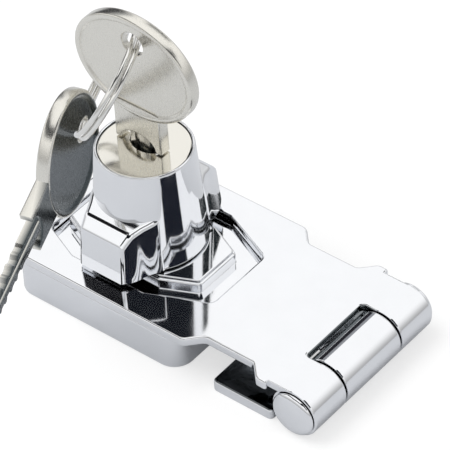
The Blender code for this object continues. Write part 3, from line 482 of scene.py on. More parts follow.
class HASP_OT_leaf(bpy.types.Operator):
    """Build the hasp leaf: a plate with round rims and a slot, running tangent onto two knuckles."""

    bl_idname = "hasp.leaf"
    bl_label = "Hasp leaf"

    def execute(self, context):
        size = context.scene.hasp_leaf
        wide, waist, barrel = LEAF_HIGH[1], size.waist / 2, CAP_LOW[1] - END_PLAY
        head, end, bend = barrel + 0.85 * MM, HINGE_X + size.edge, 1.3 * MM
        head_end, window = HINGE_X - 5.0 * MM, HINGE_X - 3.7 * MM
        half = [
            (LEAF_LOW[0], wide, size.corner), (KNOB_X + size.shoulder_end, wide, 1.8 * MM),
            (KNOB_X + size.waist_start, waist, bend), (KNOB_X + size.waist_end, waist, bend),
            (KNOB_X + size.head_start, head, bend), (head_end, head, 0.5 * MM), (head_end, barrel, 0.0),
            (end, barrel, 0.0), (end, KNUCKLE_GAP, 0.0), (window, KNUCKLE_GAP, 0.8 * MM),
        ]
        lower = [(x, -y, radius) for x, y, radius in half]
        upper = [(x, y, radius) for x, y, radius in reversed(half)]
        outline = rounded(lower + upper, 12)
        slot = lozenge(size.slot_end, size.slot_back, size.slot_tip, size.slot_flat, size.slot_width / 2,
                       1.5 * MM, 12)
        low, high, soft, hold = LEAF_TOP - size.thickness, LEAF_TOP, size.edge / 2, 0.06 * MM
        rows = [(soft + hold, low)] + arc_rim((soft, low), (0.0, low + soft), 3, True)
        rows += arc_rim((0.0, high - size.edge), (size.edge, high), 6, False) + [(size.edge + hold, high)]
        shape = Shape().slab([(outline, 1.0, rows), (slot + KNOB_AXIS[:2], -1.0, rows)])
        knuckle(shape, -barrel, -KNUCKLE_GAP)
        knuckle(shape, KNUCKLE_GAP, barrel)
        mesh = shape.mesh("leaf_plate")
        x, y, z = spots_of(mesh).T
        # Painted shade: the walls round the window between the knuckles are darkened to stand in for the
        # shade in that gap.
        in_window = (np.abs(y) < KNUCKLE_GAP + 0.3 * MM) & (x > window - 0.1 * MM) & (x < HINGE_X)
        tarnish(mesh, in_window & (z > low - 0.1 * MM) & (z < high - 0.15 * MM), 0.9)
        place_piece("leaf_plate", mesh, chrome(), "base", ("hasp_leaf",))
        return {"FINISHED"}


class HaspHingeSizes(bpy.types.PropertyGroup):
    """Sizes of the screwed leaf and the pin's heads."""

    thickness: size_of("Fixed leaf thickness", "Thickness of the screwed leaf", 1.9)
    dome: size_of("Pin dome", "Rise of the pin's domed heads", 1.15)
    screw: size_of("Screw hole", "Radius of the screw holes", 1.7)
    screw_head: size_of("Countersink", "Radius of the countersinks' mouths", 3.0)
    screws_near: size_of("Near screws", "From the knob's axis to the two outer screw holes", 28.2)
    screws_apart: size_of("Screw spacing", "Half the distance of the two outer screw holes", 6.2)
    screw_far: size_of("Far screw", "From the knob's axis to the middle screw hole", 33.0)


class HASP_OT_hinge(bpy.types.Operator):
    """Build the hinge: the screwed leaf with the middle knuckle, and the pin with its two domed heads."""

    bl_idname = "hasp.hinge"
    bl_label = "Hinge and fixed leaf"

    def execute(self, context):
        self.leaf(context.scene.hasp_hinge)
        self.pin(context.scene.hasp_hinge)
        return {"FINISHED"}

    def leaf(self, size):
        """The plate with its countersunk holes, and a tongue that runs under the middle knuckle."""
        start, half, tongue = FIXED_LOW[0], FIXED_HIGH[1], TONGUE_HALF
        wide_end, end, hold = HINGE_X - HINGE_Z - 0.35 * MM, HINGE_X - 0.6 * MM, 0.05 * MM
        outline = rounded([
            (start, -half, 1.0 * MM), (wide_end, -half, 0.8 * MM), (wide_end, -tongue, 0.0),
            (end, -tongue, 0.0), (end, tongue, 0.0), (wide_end, tongue, 0.0),
            (wide_end, half, 0.8 * MM), (start, half, 1.0 * MM),
        ], 8)
        high, soft = size.thickness, 0.4 * MM
        rows = [(0.0, 0.0), (0.0, high - soft - hold)]
        rows += arc_rim((0.0, high - soft), (soft, high), 5, False) + [(soft + hold, high)]
        sink, lip = size.screw_head - size.screw, 0.1 * MM
        hole_rows = [(0.0, 0.0), (0.0, high - sink), (sink - lip, high - lip), (sink + hold, high)]
        loops = [(outline, 1.0, rows)]
        for x, y in ((size.screws_near, -size.screws_apart), (size.screws_near, size.screws_apart),
                     (size.screw_far, 0.0)):
            loops.append((circle(size.screw, 40, (KNOB_X + x, y)), -1.0, hole_rows))
        shape = Shape().slab(loops)
        knuckle(shape, -tongue, tongue)
        mesh = shape.mesh("screwed_leaf")
        x, y, z = spots_of(mesh).T
        # Painted shade: the screwed leaf's top, off the knuckle, is darkened to stand in for the shade and
        # dark reflection under the hasp leaf.
        on_knuckle = np.hypot(x - HINGE_X, z - HINGE_Z) < HINGE_Z + 0.01 * MM
        tarnish(mesh, (z > high - 0.1 * MM) & ~on_knuckle, 0.85)
        place_piece("screwed_leaf", mesh, chrome(), "fixed_leaf", ("fixed_leaf",))

    def pin(self, size):
        """The pin and its two heads, each a quarter of an ellipse carried round the hinge axis."""
        face, inner, radius = CAP_HIGH[1] - size.dome, CAP_LOW[1], HINGE_Z - 0.4 * MM
        shank, chamfer = 2.2 * MM, 0.1 * MM
        quarter = np.linspace(0.0, math.pi / 2.0, 16)[:-1]
        head = [(0.0, inner), (shank, inner), (radius - chamfer, inner), (radius, inner + chamfer)]
        head += [(radius * math.cos(angle), face + size.dome * math.sin(angle)) for angle in quarter]
        head.append((0.0, face + size.dome))
        for side, name, node in ((1.0, "pin_head_back", "pin_cap"), (-1.0, "pin_head_front", "hinge_pin")):
            shape = Shape().turned([(r, side * y) for r, y in head], 96, HINGE_AXIS, "Y")
            if side < 0:
                shape.turned([(0.0, inner + 0.4 * MM), (shank, inner + 0.3 * MM), (shank, -inner),
                              (0.0, -inner)], 48, HINGE_AXIS, "Y")
            place_piece(name, shape.mesh(name), chrome(), "base", (node,))


class HaspStapleSizes(bpy.types.PropertyGroup):
    """Sizes of the hollow staple casting and its post."""

    wall: size_of("Staple wall", "Wall and roof of the casting", 1.8)
    corner: size_of("Staple corner", "Radius of the casting's corners", 3.6)
    edge: size_of("Staple edge", "Rounding of the casting's upper edge", 0.7)
    pad: size_of("Post pad", "Height of the raised pad on the post", 0.55)
    pad_inset: size_of("Pad inset", "Step between the post's edge and its pad", 0.4)
    bore: size_of("Staple bore", "Radius of the hole for the knob's spindle", 5.85)
    post_length: size_of("Post length", "Half the length of the post", 14.1)
    post_tip: size_of("Post tip", "Half the width of the post's tips", 4.7)
    post_flat: size_of("Post flat", "Half the length over which the post keeps its width", 7.7)
    post_width: size_of("Post width", "Half the width of the post", 7.6)
    collar: size_of("Collar", "Radius of the collar under the roof", 9.0)


def turned_in(outline, radius, top, steps):
    """Rows down a rounded edge of a radius below a flat at the top height, as (outline, inset, height)."""
    return [(outline, back, top - radius + lift)
            for back, lift in arc_rim((radius, radius), (0.0, 0.0), steps, True)]


class HASP_OT_staple(bpy.types.Operator):
    """Build the staple: one closed skin whose sections are bore, pad, post, rim, wall, hollow and collar.

    Each row is an outline moved in, or a plain radius where there is none, at one height. A row's length
    along each angle is where a ray from the knob's axis crosses it. The bolt's notch lengthens the bore's
    lowest rows over the angles that face the hinge.
    """

    bl_idname = "hasp.staple"
    bl_label = "Staple"

    def execute(self, context):
        size = context.scene.hasp_staple
        angle = 2.0 * np.pi * (np.arange(720) + 0.5) / 720
        roof = LEAF_TOP - 1.9 * MM - size.wall
        rows = self.rows(size, roof)
        lengths = np.array([
            np.full(len(angle), value) if outline is None else reach(inset(outline, value), angle)
            for outline, value, height in rows
        ])
        facing = (np.cos(angle) > 0.0) & (np.abs(np.sin(angle)) < NOTCH_HALF / size.bore)
        notch = np.minimum(NOTCH_REACH / np.cos(angle), NOTCH_HALF / np.abs(np.sin(angle)))
        lengths[-4:-1] = np.where(facing, np.maximum(notch, lengths[-4:-1]), lengths[-4:-1])
        shape = Shape().grid(polar_skin(lengths, angle, [height for outline, value, height in rows]),
                             close_rows=True)
        hole, post, lip = 1.7 * MM, 3.1 * MM, 0.1 * MM
        boss = [(hole, 0.02 * MM), (hole + lip, 0.01 * MM), (post - lip, 0.01 * MM), (post, 0.01 * MM + lip),
                (post, roof + lip), (hole, roof + lip)]
        for x, y in ((-12.4 * MM, 12.0 * MM), (13.5 * MM, 12.3 * MM)):
            for side in (-1.0, 1.0):
                shape.turned(boss, 40, (KNOB_X + x, side * y, 0.0), closed=True)
        mesh = shape.mesh("staple_casting")
        place_piece("staple_casting", mesh, chrome(), "base", ("staple_base",))
        return {"FINISHED"}

    def rows(self, size, roof):
        """The skin's rows (outline, inset or radius, height), from the bore's top round to its foot."""
        left, right, half = STAPLE_LOW[0] - KNOB_X, STAPLE_HIGH[0] - KNOB_X, STAPLE_HIGH[1]
        plan = rounded([(left, -half, size.corner), (right, -half, size.corner), (right, half, size.corner),
                        (left, half, size.corner)], 24)
        post = lozenge(size.post_length, size.post_length, size.post_tip, size.post_flat, size.post_width,
                       0.9 * MM, 12)
        top, high, soft = roof + size.wall, STAPLE_HIGH[2], size.pad_inset
        step, bore, wall, hold = high - size.pad, size.bore, size.wall, 0.06 * MM
        collar, under = size.collar, 2.6 * MM
        rows = [(None, bore, high - 0.2 * MM), (None, bore + hold, high - hold),
                (None, bore + 0.2 * MM, high), (None, bore + 0.3 * MM, high), (post, soft + 0.26 * MM, high)]
        rows += [(post, soft + back, height) for post, back, height in turned_in(post, 0.2 * MM, high, 4)]
        rows += [(post, soft, step + 0.08 * MM), (post, soft - 0.03 * MM, step + 0.02 * MM),
                 (post, soft - 0.08 * MM, step), (post, 0.28 * MM, step)]
        rows += turned_in(post, 0.25 * MM, step, 4)
        rows += [(post, 0.0, top + 0.1 * MM), (post, -0.03 * MM, top + 0.03 * MM), (post, -0.1 * MM, top),
                 (post, -0.15 * MM, top), (plan, size.edge + hold, top)]
        rows += turned_in(plan, size.edge, top, 7)
        rows += [(plan, 0.0, top - size.edge - hold), (plan, 0.0, 0.2 * MM), (plan, 0.04 * MM, 0.04 * MM),
                 (plan, 0.15 * MM, 0.0), (plan, wall - 0.15 * MM, 0.0), (plan, wall, 0.15 * MM),
                 (plan, wall, roof - 0.4 * MM), (plan, wall + 0.1 * MM, roof - 0.1 * MM),
                 (plan, wall + 0.4 * MM, roof)]
        rows += [(None, collar + 0.4 * MM, roof), (None, collar + 0.1 * MM, roof - 0.1 * MM),
                 (None, collar, roof - 0.4 * MM), (None, collar, under + 0.2 * MM),
                 (None, collar - 0.2 * MM, under), (None, bore + 0.2 * MM, under),
                 (None, bore, under + 0.2 * MM), (None, bore, NOTCH_TOP), (None, bore, NOTCH_TOP + 0.01 * MM)]
        return rows


class HaspKnobSizes(bpy.types.PropertyGroup):
    """Sizes of the knob and its wings."""

    rim_radius: size_of("Rim radius", "Radius of the knob at its rim", 8.3)
    foot_radius: size_of("Foot radius", "Radius of the knob at its foot", 9.75)
    rim_round: size_of("Rim rounding", "Rounding of the knob's rim", 0.45)
    face_radius: size_of("Plug face radius", "Radius of the plug's head", 7.7)
    wing_edge: size_of("Wing edge", "Rounding along the wings' upper edges", 0.8)


def wing_mesh(side):
    """A finger wing: a foot line and a ridge line on each side, splines with the side walls ruled between.

    The ridge falls toward the wing's end. The bevel's weight is full along the ridge and half at the end.
    """
    foot, ridge = spline(WING_FOOT, 5) * MM, spline(WING_RIDGE, 5) * MM
    rise = np.interp(-ridge[:, 1], -np.array(RIDGE_AWAY) * MM, np.array(RIDGE_RISE) * MM)
    low = np.column_stack([foot, np.full(len(foot), KNOB_FOOT)])
    high = np.column_stack([ridge, LEAF_TOP + rise])
    mirror = np.array([-1.0, 1.0, 1.0])
    count = len(foot)
    points = np.concatenate([low, high, high * mirror, low * mirror]) * (side, side, 1.0)
    number = np.arange(count - 1)
    strips = [np.stack([number + first * count, number + 1 + first * count,
                        number + 1 + second * count, number + second * count], axis=1)
              for first, second in ((0, 1), (1, 2), (2, 3), (3, 0))]
    faces = np.concatenate(strips).tolist()
    faces += [[row, row + count, row + 2 * count, row + 3 * count] for row in (0, count - 1)]
    shape = Shape()
    shape.points, shape.faces = [points + KNOB_AXIS], faces
    mesh = shape.mesh("wing", 60.0)
    place = (spots_of(mesh) - KNOB_AXIS) * (side, side, 1.0)
    ends = np.zeros(len(mesh.edges) * 2, dtype=np.int32)
    mesh.edges.foreach_get("vertices", ends)
    first, second = place[ends[0::2]], place[ends[1::2]]
    nearer, farther = np.minimum(first, second), np.maximum(first, second)
    upper = nearer[:, 2] > KNOB_FOOT + 1.0 * MM
    same_side = first[:, 0] * second[:, 0] > 0.0
    on_end, inside = nearer[:, 1] > 12.1 * MM, farther[:, 1] < 3.7 * MM
    weight = np.where(upper & same_side & ~inside, 1.0, 0.0)
    weight[on_end & (upper | same_side)] = 0.5
    mesh.attributes.new("bevel_weight_edge", "FLOAT", "EDGE").data.foreach_set("value", weight)
    return mesh


class HASP_OT_knob(bpy.types.Operator):
    """Build the knob: a cone and its spindle turned about one axis, and two wings with rounded ridges."""

    bl_idname = "hasp.knob"
    bl_label = "Twist knob"

    def execute(self, context):
        size = context.scene.hasp_knob
        self.cone(size)
        for name, side in (("knob_wing_front", -1.0), ("knob_wing_back", 1.0)):
            piece = place_piece(name, wing_mesh(side), chrome(), "knob", ("knob_body",))
            bevel = piece.modifiers.new("edges", "BEVEL")
            bevel.limit_method = "WEIGHT"
            bevel.width = size.wing_edge
            bevel.segments = 5
            bevel.harden_normals = True
        return {"FINISHED"}

    def cone(self, size):
        """The spindle, the cone and the plug's seat, with a flat pocket for the bolt on the hinge's side.

        The rim starts on the cone's own line, so the shading runs straight up the cone.
        """
        top, foot, tail, soft = KNOB_HIGH[2], KNOB_FOOT, KNOB_LOW[2], size.rim_round
        rim, base = size.rim_radius, size.foot_radius
        seat, bore, wall = top - 2.5 * MM, size.face_radius + 0.15 * MM, 0.01 * MM
        taper = (base - rim) / (top - foot)
        profile = [
            (0.0, tail), (SPINDLE_TAIL - 0.3 * MM, tail), (SPINDLE_TAIL, tail + 0.2 * MM),
            (SPINDLE_TAIL, TAIL_TOP), (SPINDLE, TAIL_TOP), (SPINDLE, POCKET_LOW),
            (SPINDLE, POCKET_LOW + wall), (SPINDLE, POCKET_HIGH - wall), (SPINDLE, POCKET_HIGH),
            (SPINDLE, foot), (base - 0.3 * MM, foot), (base - 0.09 * MM, foot + 0.09 * MM),
            (base - taper * 0.3 * MM, foot + 0.3 * MM), (base - taper * 0.4 * MM, foot + 0.4 * MM),
            (rim + taper * (soft + 0.1 * MM), top - soft - 0.1 * MM),
        ]
        profile += arc_rim((rim + taper * soft, top - soft), (rim - soft * 0.6, top), 6, False)
        profile += [(bore + 0.1 * MM, top - 0.02 * MM), (bore, top - 0.12 * MM), (bore, seat), (0.0, seat)]
        shape = Shape().turned(profile, 160, KNOB_AXIS)
        pocket = shape.points[0].reshape(len(profile), -1, 3)[6:8]
        at_bolt = (pocket[..., 0] > KNOB_X) & (np.abs(pocket[..., 1]) < POCKET_HALF)
        pocket[..., 0] = np.where(at_bolt, KNOB_X + POCKET_FLOOR, pocket[..., 0])
        place_piece("knob_cone", shape.mesh("knob_cone"), chrome(), "knob", ("knob_body",))


class HASP_OT_plug(bpy.types.Operator):
    """Build the plug: a flat round face with a lens-shaped recess over the keyway, and its body below.

    The lens is two equal arcs, each a power of one minus the square of the place along it.
    """

    bl_idname = "hasp.plug"
    bl_label = "Key plug"

    def execute(self, context):
        size = context.scene.hasp_knob
        offset, high, sides = KEY_HOLE[1], PLUG_HIGH[2], 192
        low, bottom, deep = high - 2.1 * MM, 5.6 * MM, high - 5.0 * MM
        lens_long, lens_wide, slot_long, slot_wide = 3.4 * MM, 1.75 * MM, 2.3 * MM, 0.95 * MM
        angle = 2.0 * np.pi * (np.arange(sides) + 0.5) / sides
        face = circle(size.face_radius, sides, (0.0, -offset))
        along = np.linspace(-1.0, 1.0, 61)
        lens = np.column_stack([lens_long * along, -lens_wide * (1.0 - along ** 2) ** 0.8])
        lens = np.vstack([lens[:-1], -lens[:-1]])
        slot = np.array([(-slot_long, -slot_wide), (slot_long, -slot_wide), (slot_long, slot_wide),
                         (-slot_long, slot_wide)])
        grown = lens * (1.0 + 0.12 * MM / (np.linalg.norm(lens, axis=1) + 1e-6))[:, None]
        rows = [(slot, deep), (slot, high - 1.15 * MM), (lens * 0.94, high - 1.1 * MM),
                (lens, high - 0.95 * MM), (lens, high - 0.1 * MM), (grown, high), (grown * 1.03, high),
                (inset(face, 0.2 * MM), high), (inset(face, 0.15 * MM), high),
                (inset(face, 0.04 * MM), high - 0.04 * MM), (face, high - 0.15 * MM),
                (face, high - 0.2 * MM), (face, low)]
        lengths = np.array([reach(outline, angle) for outline, height in rows])
        heights = [height for outline, height in rows]
        shape = Shape().grid(polar_skin(lengths, angle, heights, offset), caps=True)
        self.body(shape, bottom, low)
        mesh = shape.mesh("key_plug")
        x, y, z = spots_of(mesh).T
        # Painted shade: the keyway's recess below the face is darkened to stand in for the shade inside it.
        in_keyway = (np.abs(x - KNOB_X) < lens_long - 0.1 * MM) & (np.abs(y - offset) < lens_wide - 0.05 * MM)
        tarnish(mesh, in_keyway & (z > deep - 0.1 * MM) & (z < high - 0.5 * MM))
        place_piece("key_plug", mesh, plug_face(), "plug", ("plug",))
        return {"FINISHED"}

    def body(self, shape, bottom, low):
        """The barrel with its groove for the cross pin, and the crank pin that moves the bolt."""
        barrel, groove, groove_low, groove_high = 3.9 * MM, 3.2 * MM, 6.85 * MM, 8.15 * MM
        shape.turned([(0.0, bottom), (barrel - 0.3 * MM, bottom), (barrel, bottom + 0.3 * MM),
                      (barrel, groove_low), (groove, groove_low), (groove, groove_high),
                      (barrel, groove_high), (barrel, low), (0.0, low)], 64, KNOB_AXIS)
        crank, aside, tip = 0.7 * MM, 1.1 * MM, PLUG_LOW[2]
        shape.turned([(0.0, tip), (crank - 0.1 * MM, tip), (crank, tip + 0.1 * MM), (crank, bottom),
                      (0.0, bottom)], 24, (KNOB_X - aside, aside, 0.0))


class HaspKeySizes(bpy.types.PropertyGroup):
    """Sizes of both keys."""

    bow_wide: size_of("Bow half width", "Half the width of the key's oval bow", 12.1)
    bow_high: size_of("Bow half height", "Half the height of the key's oval bow", 9.9)
    bow_thickness: size_of("Bow thickness", "Thickness at the raised rim", 2.3)
    field: size_of("Bow field", "Thickness inside the raised rim", 1.4)
    rim: size_of("Rim width", "Width of the raised rim", 1.1)
    hole_radius: size_of("Hole radius", "Radius of the hole for the ring", 2.2)
    hole_offset: size_of("Hole offset", "Hole above the bow's centre", 4.9)
    blade_half: size_of("Blade half width", "Half the blade's width", 2.0)
    blade_thickness: size_of("Blade thickness", "Thickness of the blade", 1.5)


def key_bow(size):
    """The bow: nested ovals from the hole's round wall over the field and the raised rim, and back behind.

    Each row is (share, reach, height). A row of share 0 is a circle about the hole's centre, and one of
    share 1 an oval about the bow's centre, flatter by the difference of the bow's two half sizes.
    """
    half, field, wide, hole = size.bow_thickness / 2, size.field / 2, size.bow_wide, size.hole_radius
    inner = wide - size.rim
    face = [(0.0, hole, field - 0.15 * MM), (0.0, hole + 0.05 * MM, field - 0.05 * MM),
            (0.0, hole + 0.15 * MM, field), (0.0, hole + 0.25 * MM, field),
            (1.0, inner - 0.5 * MM, field), (1.0, inner - 0.4 * MM, field + 0.01 * MM),
            (1.0, inner - 0.15 * MM, field + 0.1 * MM), (1.0, inner + 0.05 * MM, half - 0.12 * MM),
            (1.0, inner + 0.25 * MM, half - 0.02 * MM), (1.0, inner + 0.4 * MM, half),
            (1.0, wide - 0.4 * MM, half), (1.0, wide - 0.22 * MM, half - 0.04 * MM),
            (1.0, wide - 0.07 * MM, half - 0.17 * MM), (1.0, wide, half - 0.4 * MM)]
    rows = np.array(face + [(share, around, -height) for share, around, height in reversed(face)])
    share, around, height = (column[:, None] for column in rows.T)
    angle = 2.0 * np.pi * np.arange(160) / 160
    upward = (around - share * (wide - size.bow_high)) * np.sin(angle) + (1.0 - share) * size.hole_offset
    return np.stack([around * np.cos(angle), np.broadcast_to(height, upward.shape), upward], axis=-1)


def key_neck(size, shoulder):
    """The neck's outline: a plate from the shoulder up into the bow, its foot hollowed by a half ellipse."""
    arch = np.linspace(-1.0, 1.0, 25)
    arch = np.column_stack([ARCH_HALF * arch, shoulder + ARCH_RISE * np.sqrt(1.0 - arch ** 2)])
    top = -size.bow_high * 0.8
    return np.vstack([[(-NECK_HALF, shoulder)], arch, [(NECK_HALF, shoulder)],
                      [(NECK_HALF, top), (-NECK_HALF, top)]])


def key_blade(size, start):
    """The blade: one section with a milled groove on each side, carried from inside the neck to the tip.

    The section's half width follows the cuts, and is a straight run between any two of their corners.
    """
    tip, slope, flat = KEY_LOW[2] - BOW_CENTRE[2], 0.95 * MM, 0.4 * MM
    knots, widths = [start], [size.blade_half]
    for level, depth in zip(CUT_LEVELS, CUT_DEPTHS):
        centre, narrow = level * MM - BOW_CENTRE[2], size.blade_half - depth * MM
        knots += [centre + slope, centre + flat, centre - flat, centre - slope]
        widths += [size.blade_half, narrow, narrow, size.blade_half]
    knots, widths = np.array(knots + [tip]), np.array(widths + [size.blade_half * 0.35])
    lift = np.unique(np.concatenate([knots, np.linspace(tip, start, 80)]))
    width = np.interp(-lift, -knots, widths)
    thick = size.blade_thickness / 2
    cut = 1.0 - 0.35 * MM / thick
    across = np.array([-1, -1, -0.9, -0.45, -0.4, -0.05, 0.0, 0.9, 1, 1, 0.9, 0.45, 0.4, 0.05, 0.0, -0.9])
    deep = np.array([0.85, -0.85, -1, -1, -cut, -cut, -1, -1, -0.85, 0.85, 1, 1, cut, cut, 1, 1])
    x = np.where(np.abs(across) > 0.85, across * width[:, None], across * size.blade_half)
    return np.stack([x, np.broadcast_to(deep * thick, x.shape),
                     np.broadcast_to(lift[:, None], x.shape)], axis=-1)


def key_shape(size):
    """A key with its bow's centre at the origin, its face along Y and its blade down Z."""
    shape = Shape().grid(key_bow(size), close_rows=True)
    shoulder = PLUG_HIGH[2] + 0.3 * MM - BOW_CENTRE[2]
    soft, thick, hold = 0.2 * MM, size.bow_thickness / 2 - 0.05 * MM, 0.05 * MM
    back = [(soft + hold, -thick)] + arc_rim((soft, -thick), (0.0, -thick + soft), 3, True)
    front = arc_rim((0.0, thick - soft), (soft, thick), 3, False) + [(soft + hold, thick)]
    upright = np.array([[1.0, 0.0, 0.0], [0.0, 0.0, -1.0], [0.0, 1.0, 0.0]])
    shape.slab([(key_neck(size, shoulder), 1.0, back + front)], upright)
    return shape.grid(key_blade(size, shoulder + 3.0 * MM), caps=True)


def second_key_place():
    """The second key's turn, from its face's normal and its blade's direction, and its bow's centre."""
    face = SPARE_FACE / np.linalg.norm(SPARE_FACE)
    up = -(SPARE_DOWN - face * (SPARE_DOWN @ face))
    up /= np.linalg.norm(up)
    face = face * math.cos(SPARE_ROLL) + np.cross(up, face) * math.sin(SPARE_ROLL)
    return np.column_stack([np.cross(face, up), face, up]), SPARE_HOLE - up * HOLE_TO_BOW


class HASP_OT_keys(bpy.types.Operator):
    """Build the key in the plug and the second key, the same shape set in two places."""

    bl_idname = "hasp.keys"
    bl_label = "Keys"

    def execute(self, context):
        size = context.scene.hasp_keys
        mesh = key_shape(size).moved(np.eye(3), BOW_CENTRE).mesh("lock_key", 38.0)
        place_piece("lock_key", mesh, nickel(), "key", ("key",))
        turn, centre = second_key_place()
        mesh = key_shape(size).moved(turn, centre).mesh("second_key", 38.0)
        x, y, z = ((spots_of(mesh) - centre) @ turn).T
        # Painted reflection: the bow's field and the neck on one face of the second key are darkened to stand
        # in for the dark surroundings they mirror.
        in_bow = np.hypot(x / size.bow_wide, z / size.bow_high) < 0.96
        in_neck = (z < -size.bow_high) & (np.abs(x) < NECK_HALF - 0.25 * MM)
        tarnish(mesh, (in_bow | in_neck) & (y > 0.6 * MM))
        piece = place_piece("second_key", mesh, nickel(), "spare_key", ("spare_key",))
        piece.visible_glossy = False
        return {"FINISHED"}


class HaspRingSizes(bpy.types.PropertyGroup):
    """Sizes of the split ring."""

    wire: size_of("Wire radius", "Radius of the ring's wire", 0.46)
    radius: size_of("Ring radius", "Radius of the ring to the wire's centre", 9.85)
    pitch: size_of("Turn spacing", "Distance between the two turns", 1.0)
    twist: FloatProperty(name="Ring twist", description="Turn of the ring about the line between the holes",
                         subtype="ANGLE", default=math.radians(12.0))
    sections: IntProperty(name="Sections", description="Sections along the wire", default=300)


def ring_frame(size, hole_offset):
    """The ring's centre, its directions along and across the line between the keys' holes, and its normal.

    The line's first end lies half way between the first key's hole and the ring's joint, so that the ring
    stays clear of the key as it swings.
    """
    turn, second = second_key_place()
    eye = np.array([0.0, 0.0, hole_offset])
    first, second = (BOW_CENTRE + eye + KEY_HOLE) / 2, second + turn @ eye
    chord = first - second
    along = chord / np.linalg.norm(chord)
    across = TOWARD_CAMERA - along * (TOWARD_CAMERA @ along)
    across /= np.linalg.norm(across)
    across = across * math.cos(size.twist) + np.cross(along, across) * math.sin(size.twist)
    drop = math.sqrt(size.radius ** 2 - (chord @ chord) / 4.0)
    return (first + second) / 2 - across * drop, along, across, np.cross(along, across)


class HASP_OT_ring(bpy.types.Operator):
    """Build the split ring: a wire carried along two flat turns, with a smooth step from one to the other."""

    bl_idname = "hasp.ring"
    bl_label = "Split ring"

    def execute(self, context):
        size = context.scene.hasp_ring
        centre, along, across, normal = ring_frame(size, context.scene.hasp_keys.hole_offset)
        start, length, step_start, step_length = 182.0, 677.0, 322.0, 36.0
        passed = np.linspace(0.0, length, size.sections)
        step = np.clip((passed - step_start) / step_length, 0.0, 1.0)
        rise = size.pitch * (step ** 2 * (3.0 - 2.0 * step) - 0.5)
        angle = np.radians(start + passed)
        outward = np.cos(angle)[:, None] * across + np.sin(angle)[:, None] * along
        path = centre + outward * size.radius + rise[:, None] * normal
        tangent = np.gradient(path, axis=0)
        tangent /= np.linalg.norm(tangent, axis=1)[:, None]
        lift = np.cross(tangent, outward)
        lift /= np.linalg.norm(lift, axis=1)[:, None]
        thickness = np.full(len(path), size.wire)
        thickness[[0, -1]] *= 0.6
        out, over = circle(1.0, 20).T[:, :, None]
        section = out * outward[:, None] + over * lift[:, None]
        shape = Shape().grid(path[:, None] + thickness[:, None, None] * section, caps=True)
        mesh = shape.mesh("split_ring", 50.0)
        place_piece("split_ring", mesh, spring_steel(), "ring", ("key_ring",))
        return {"FINISHED"}


class HASP_OT_inner_parts(bpy.types.Operator):
    """Give the wafers, springs, bolt, washer, clip and pin their metals."""

    bl_idname = "hasp.inner_parts"
    bl_label = "Inner parts"

    def execute(self, context):
        numbers = range(1, 6)
        steel = ["locking_bolt", "plug_retaining_pin", "retaining_washer", "retaining_clip"]
        steel += [f"wafer_spring_{number}" for number in numbers]
        wafers = [f"wafer_{number}" for number in numbers]
        for names, finish in ((steel, spring_steel()), (wafers, brass())):
            for name in names:
                materials = frame["nodes"][name].data.materials
                materials.clear()
                materials.append(finish)
        return {"FINISHED"}


# Studio

class HaspStageSettings(bpy.types.PropertyGroup):
    """The studio: the floor, the soft lights and the dark cards that the chrome mirrors."""

    key_light: FloatProperty(name="Key light", description="Power of the large light above",
                             unit="POWER", default=3.0)
    sky: FloatProperty(name="Sky", description="Strength of the even light from all round", default=0.75)
    horizon: FloatProperty(name="Horizon", description="Brightness that metal mirrors at the horizon",
                           default=0.45)
    lens: FloatProperty(name="Lens", description="Focal length of the camera in millimetres",
                        default=307.165)
    distance: size_of("Camera distance", "From the knob to the camera", 634.06)


# Each card's name, bearing, lift, width and height in degrees as the knob sees it, and its colour
CARDS = (
    ("card_right", -2.0, 38.0, 32.0, 22.0, (0.01, 0.012, 0.02)),
    ("card_above", -8.0, 56.0, 60.0, 18.0, (0.01, 0.012, 0.016)),
    ("card_camera", -84.0, 52.0, 46.0, 24.0, (0.01, 0.012, 0.016)),
    ("card_front", -142.0, 55.0, 40.0, 18.0, (0.01, 0.01, 0.012)),
    ("card_left", 175.0, 38.0, 16.0, 32.0, (0.02, 0.022, 0.03)),
    ("card_back", 93.0, 43.0, 30.0, 12.0, (0.012, 0.016, 0.018)),
    ("card_low", 149.0, 11.0, 30.0, 30.0, (0.02, 0.02, 0.025)),
    ("card_middle", 142.0, 31.0, 22.0, 11.0, (0.3, 0.31, 0.33)),
)
CARD_AWAY, CARD_AIM = 0.9, Vector((KNOB_X, 0.0, 15.0 * MM))


def bare_material(name):
    """A new material with no nodes yet."""
    made = bpy.data.materials.new(name)
    made.use_nodes = True
    made.node_tree.nodes.clear()
    return made


def sheet(name, wide, tall, finish, matrix):
    """A flat rectangle of the studio, set in place by the matrix."""
    x, y = wide / 2, tall / 2
    mesh = bpy.data.meshes.new(name)
    mesh.from_pydata([(-x, -y, 0.0), (x, -y, 0.0), (x, y, 0.0), (-x, y, 0.0)], [], [(0, 1, 2, 3)])
    mesh.materials.append(finish)
    piece = bpy.data.objects.new(name, mesh)
    bpy.context.scene.collection.objects.link(piece)
    piece.matrix_world = matrix
    return piece


def dark_card(name, wide, tall, colour, matrix):
    """A card of an even dark glow that only mirrors see."""
    finish = bare_material(name)
    glow = add_node(finish.node_tree, "ShaderNodeEmission", {"Color": (*colour, 1.0)})
    add_node(finish.node_tree, "ShaderNodeOutputMaterial", {"Surface": glow.outputs["Emission"]})
    card = sheet(name, wide, tall, finish, matrix)
    card.visible_camera = False
    card.visible_diffuse = False
    card.visible_shadow = False
    card.visible_transmission = False


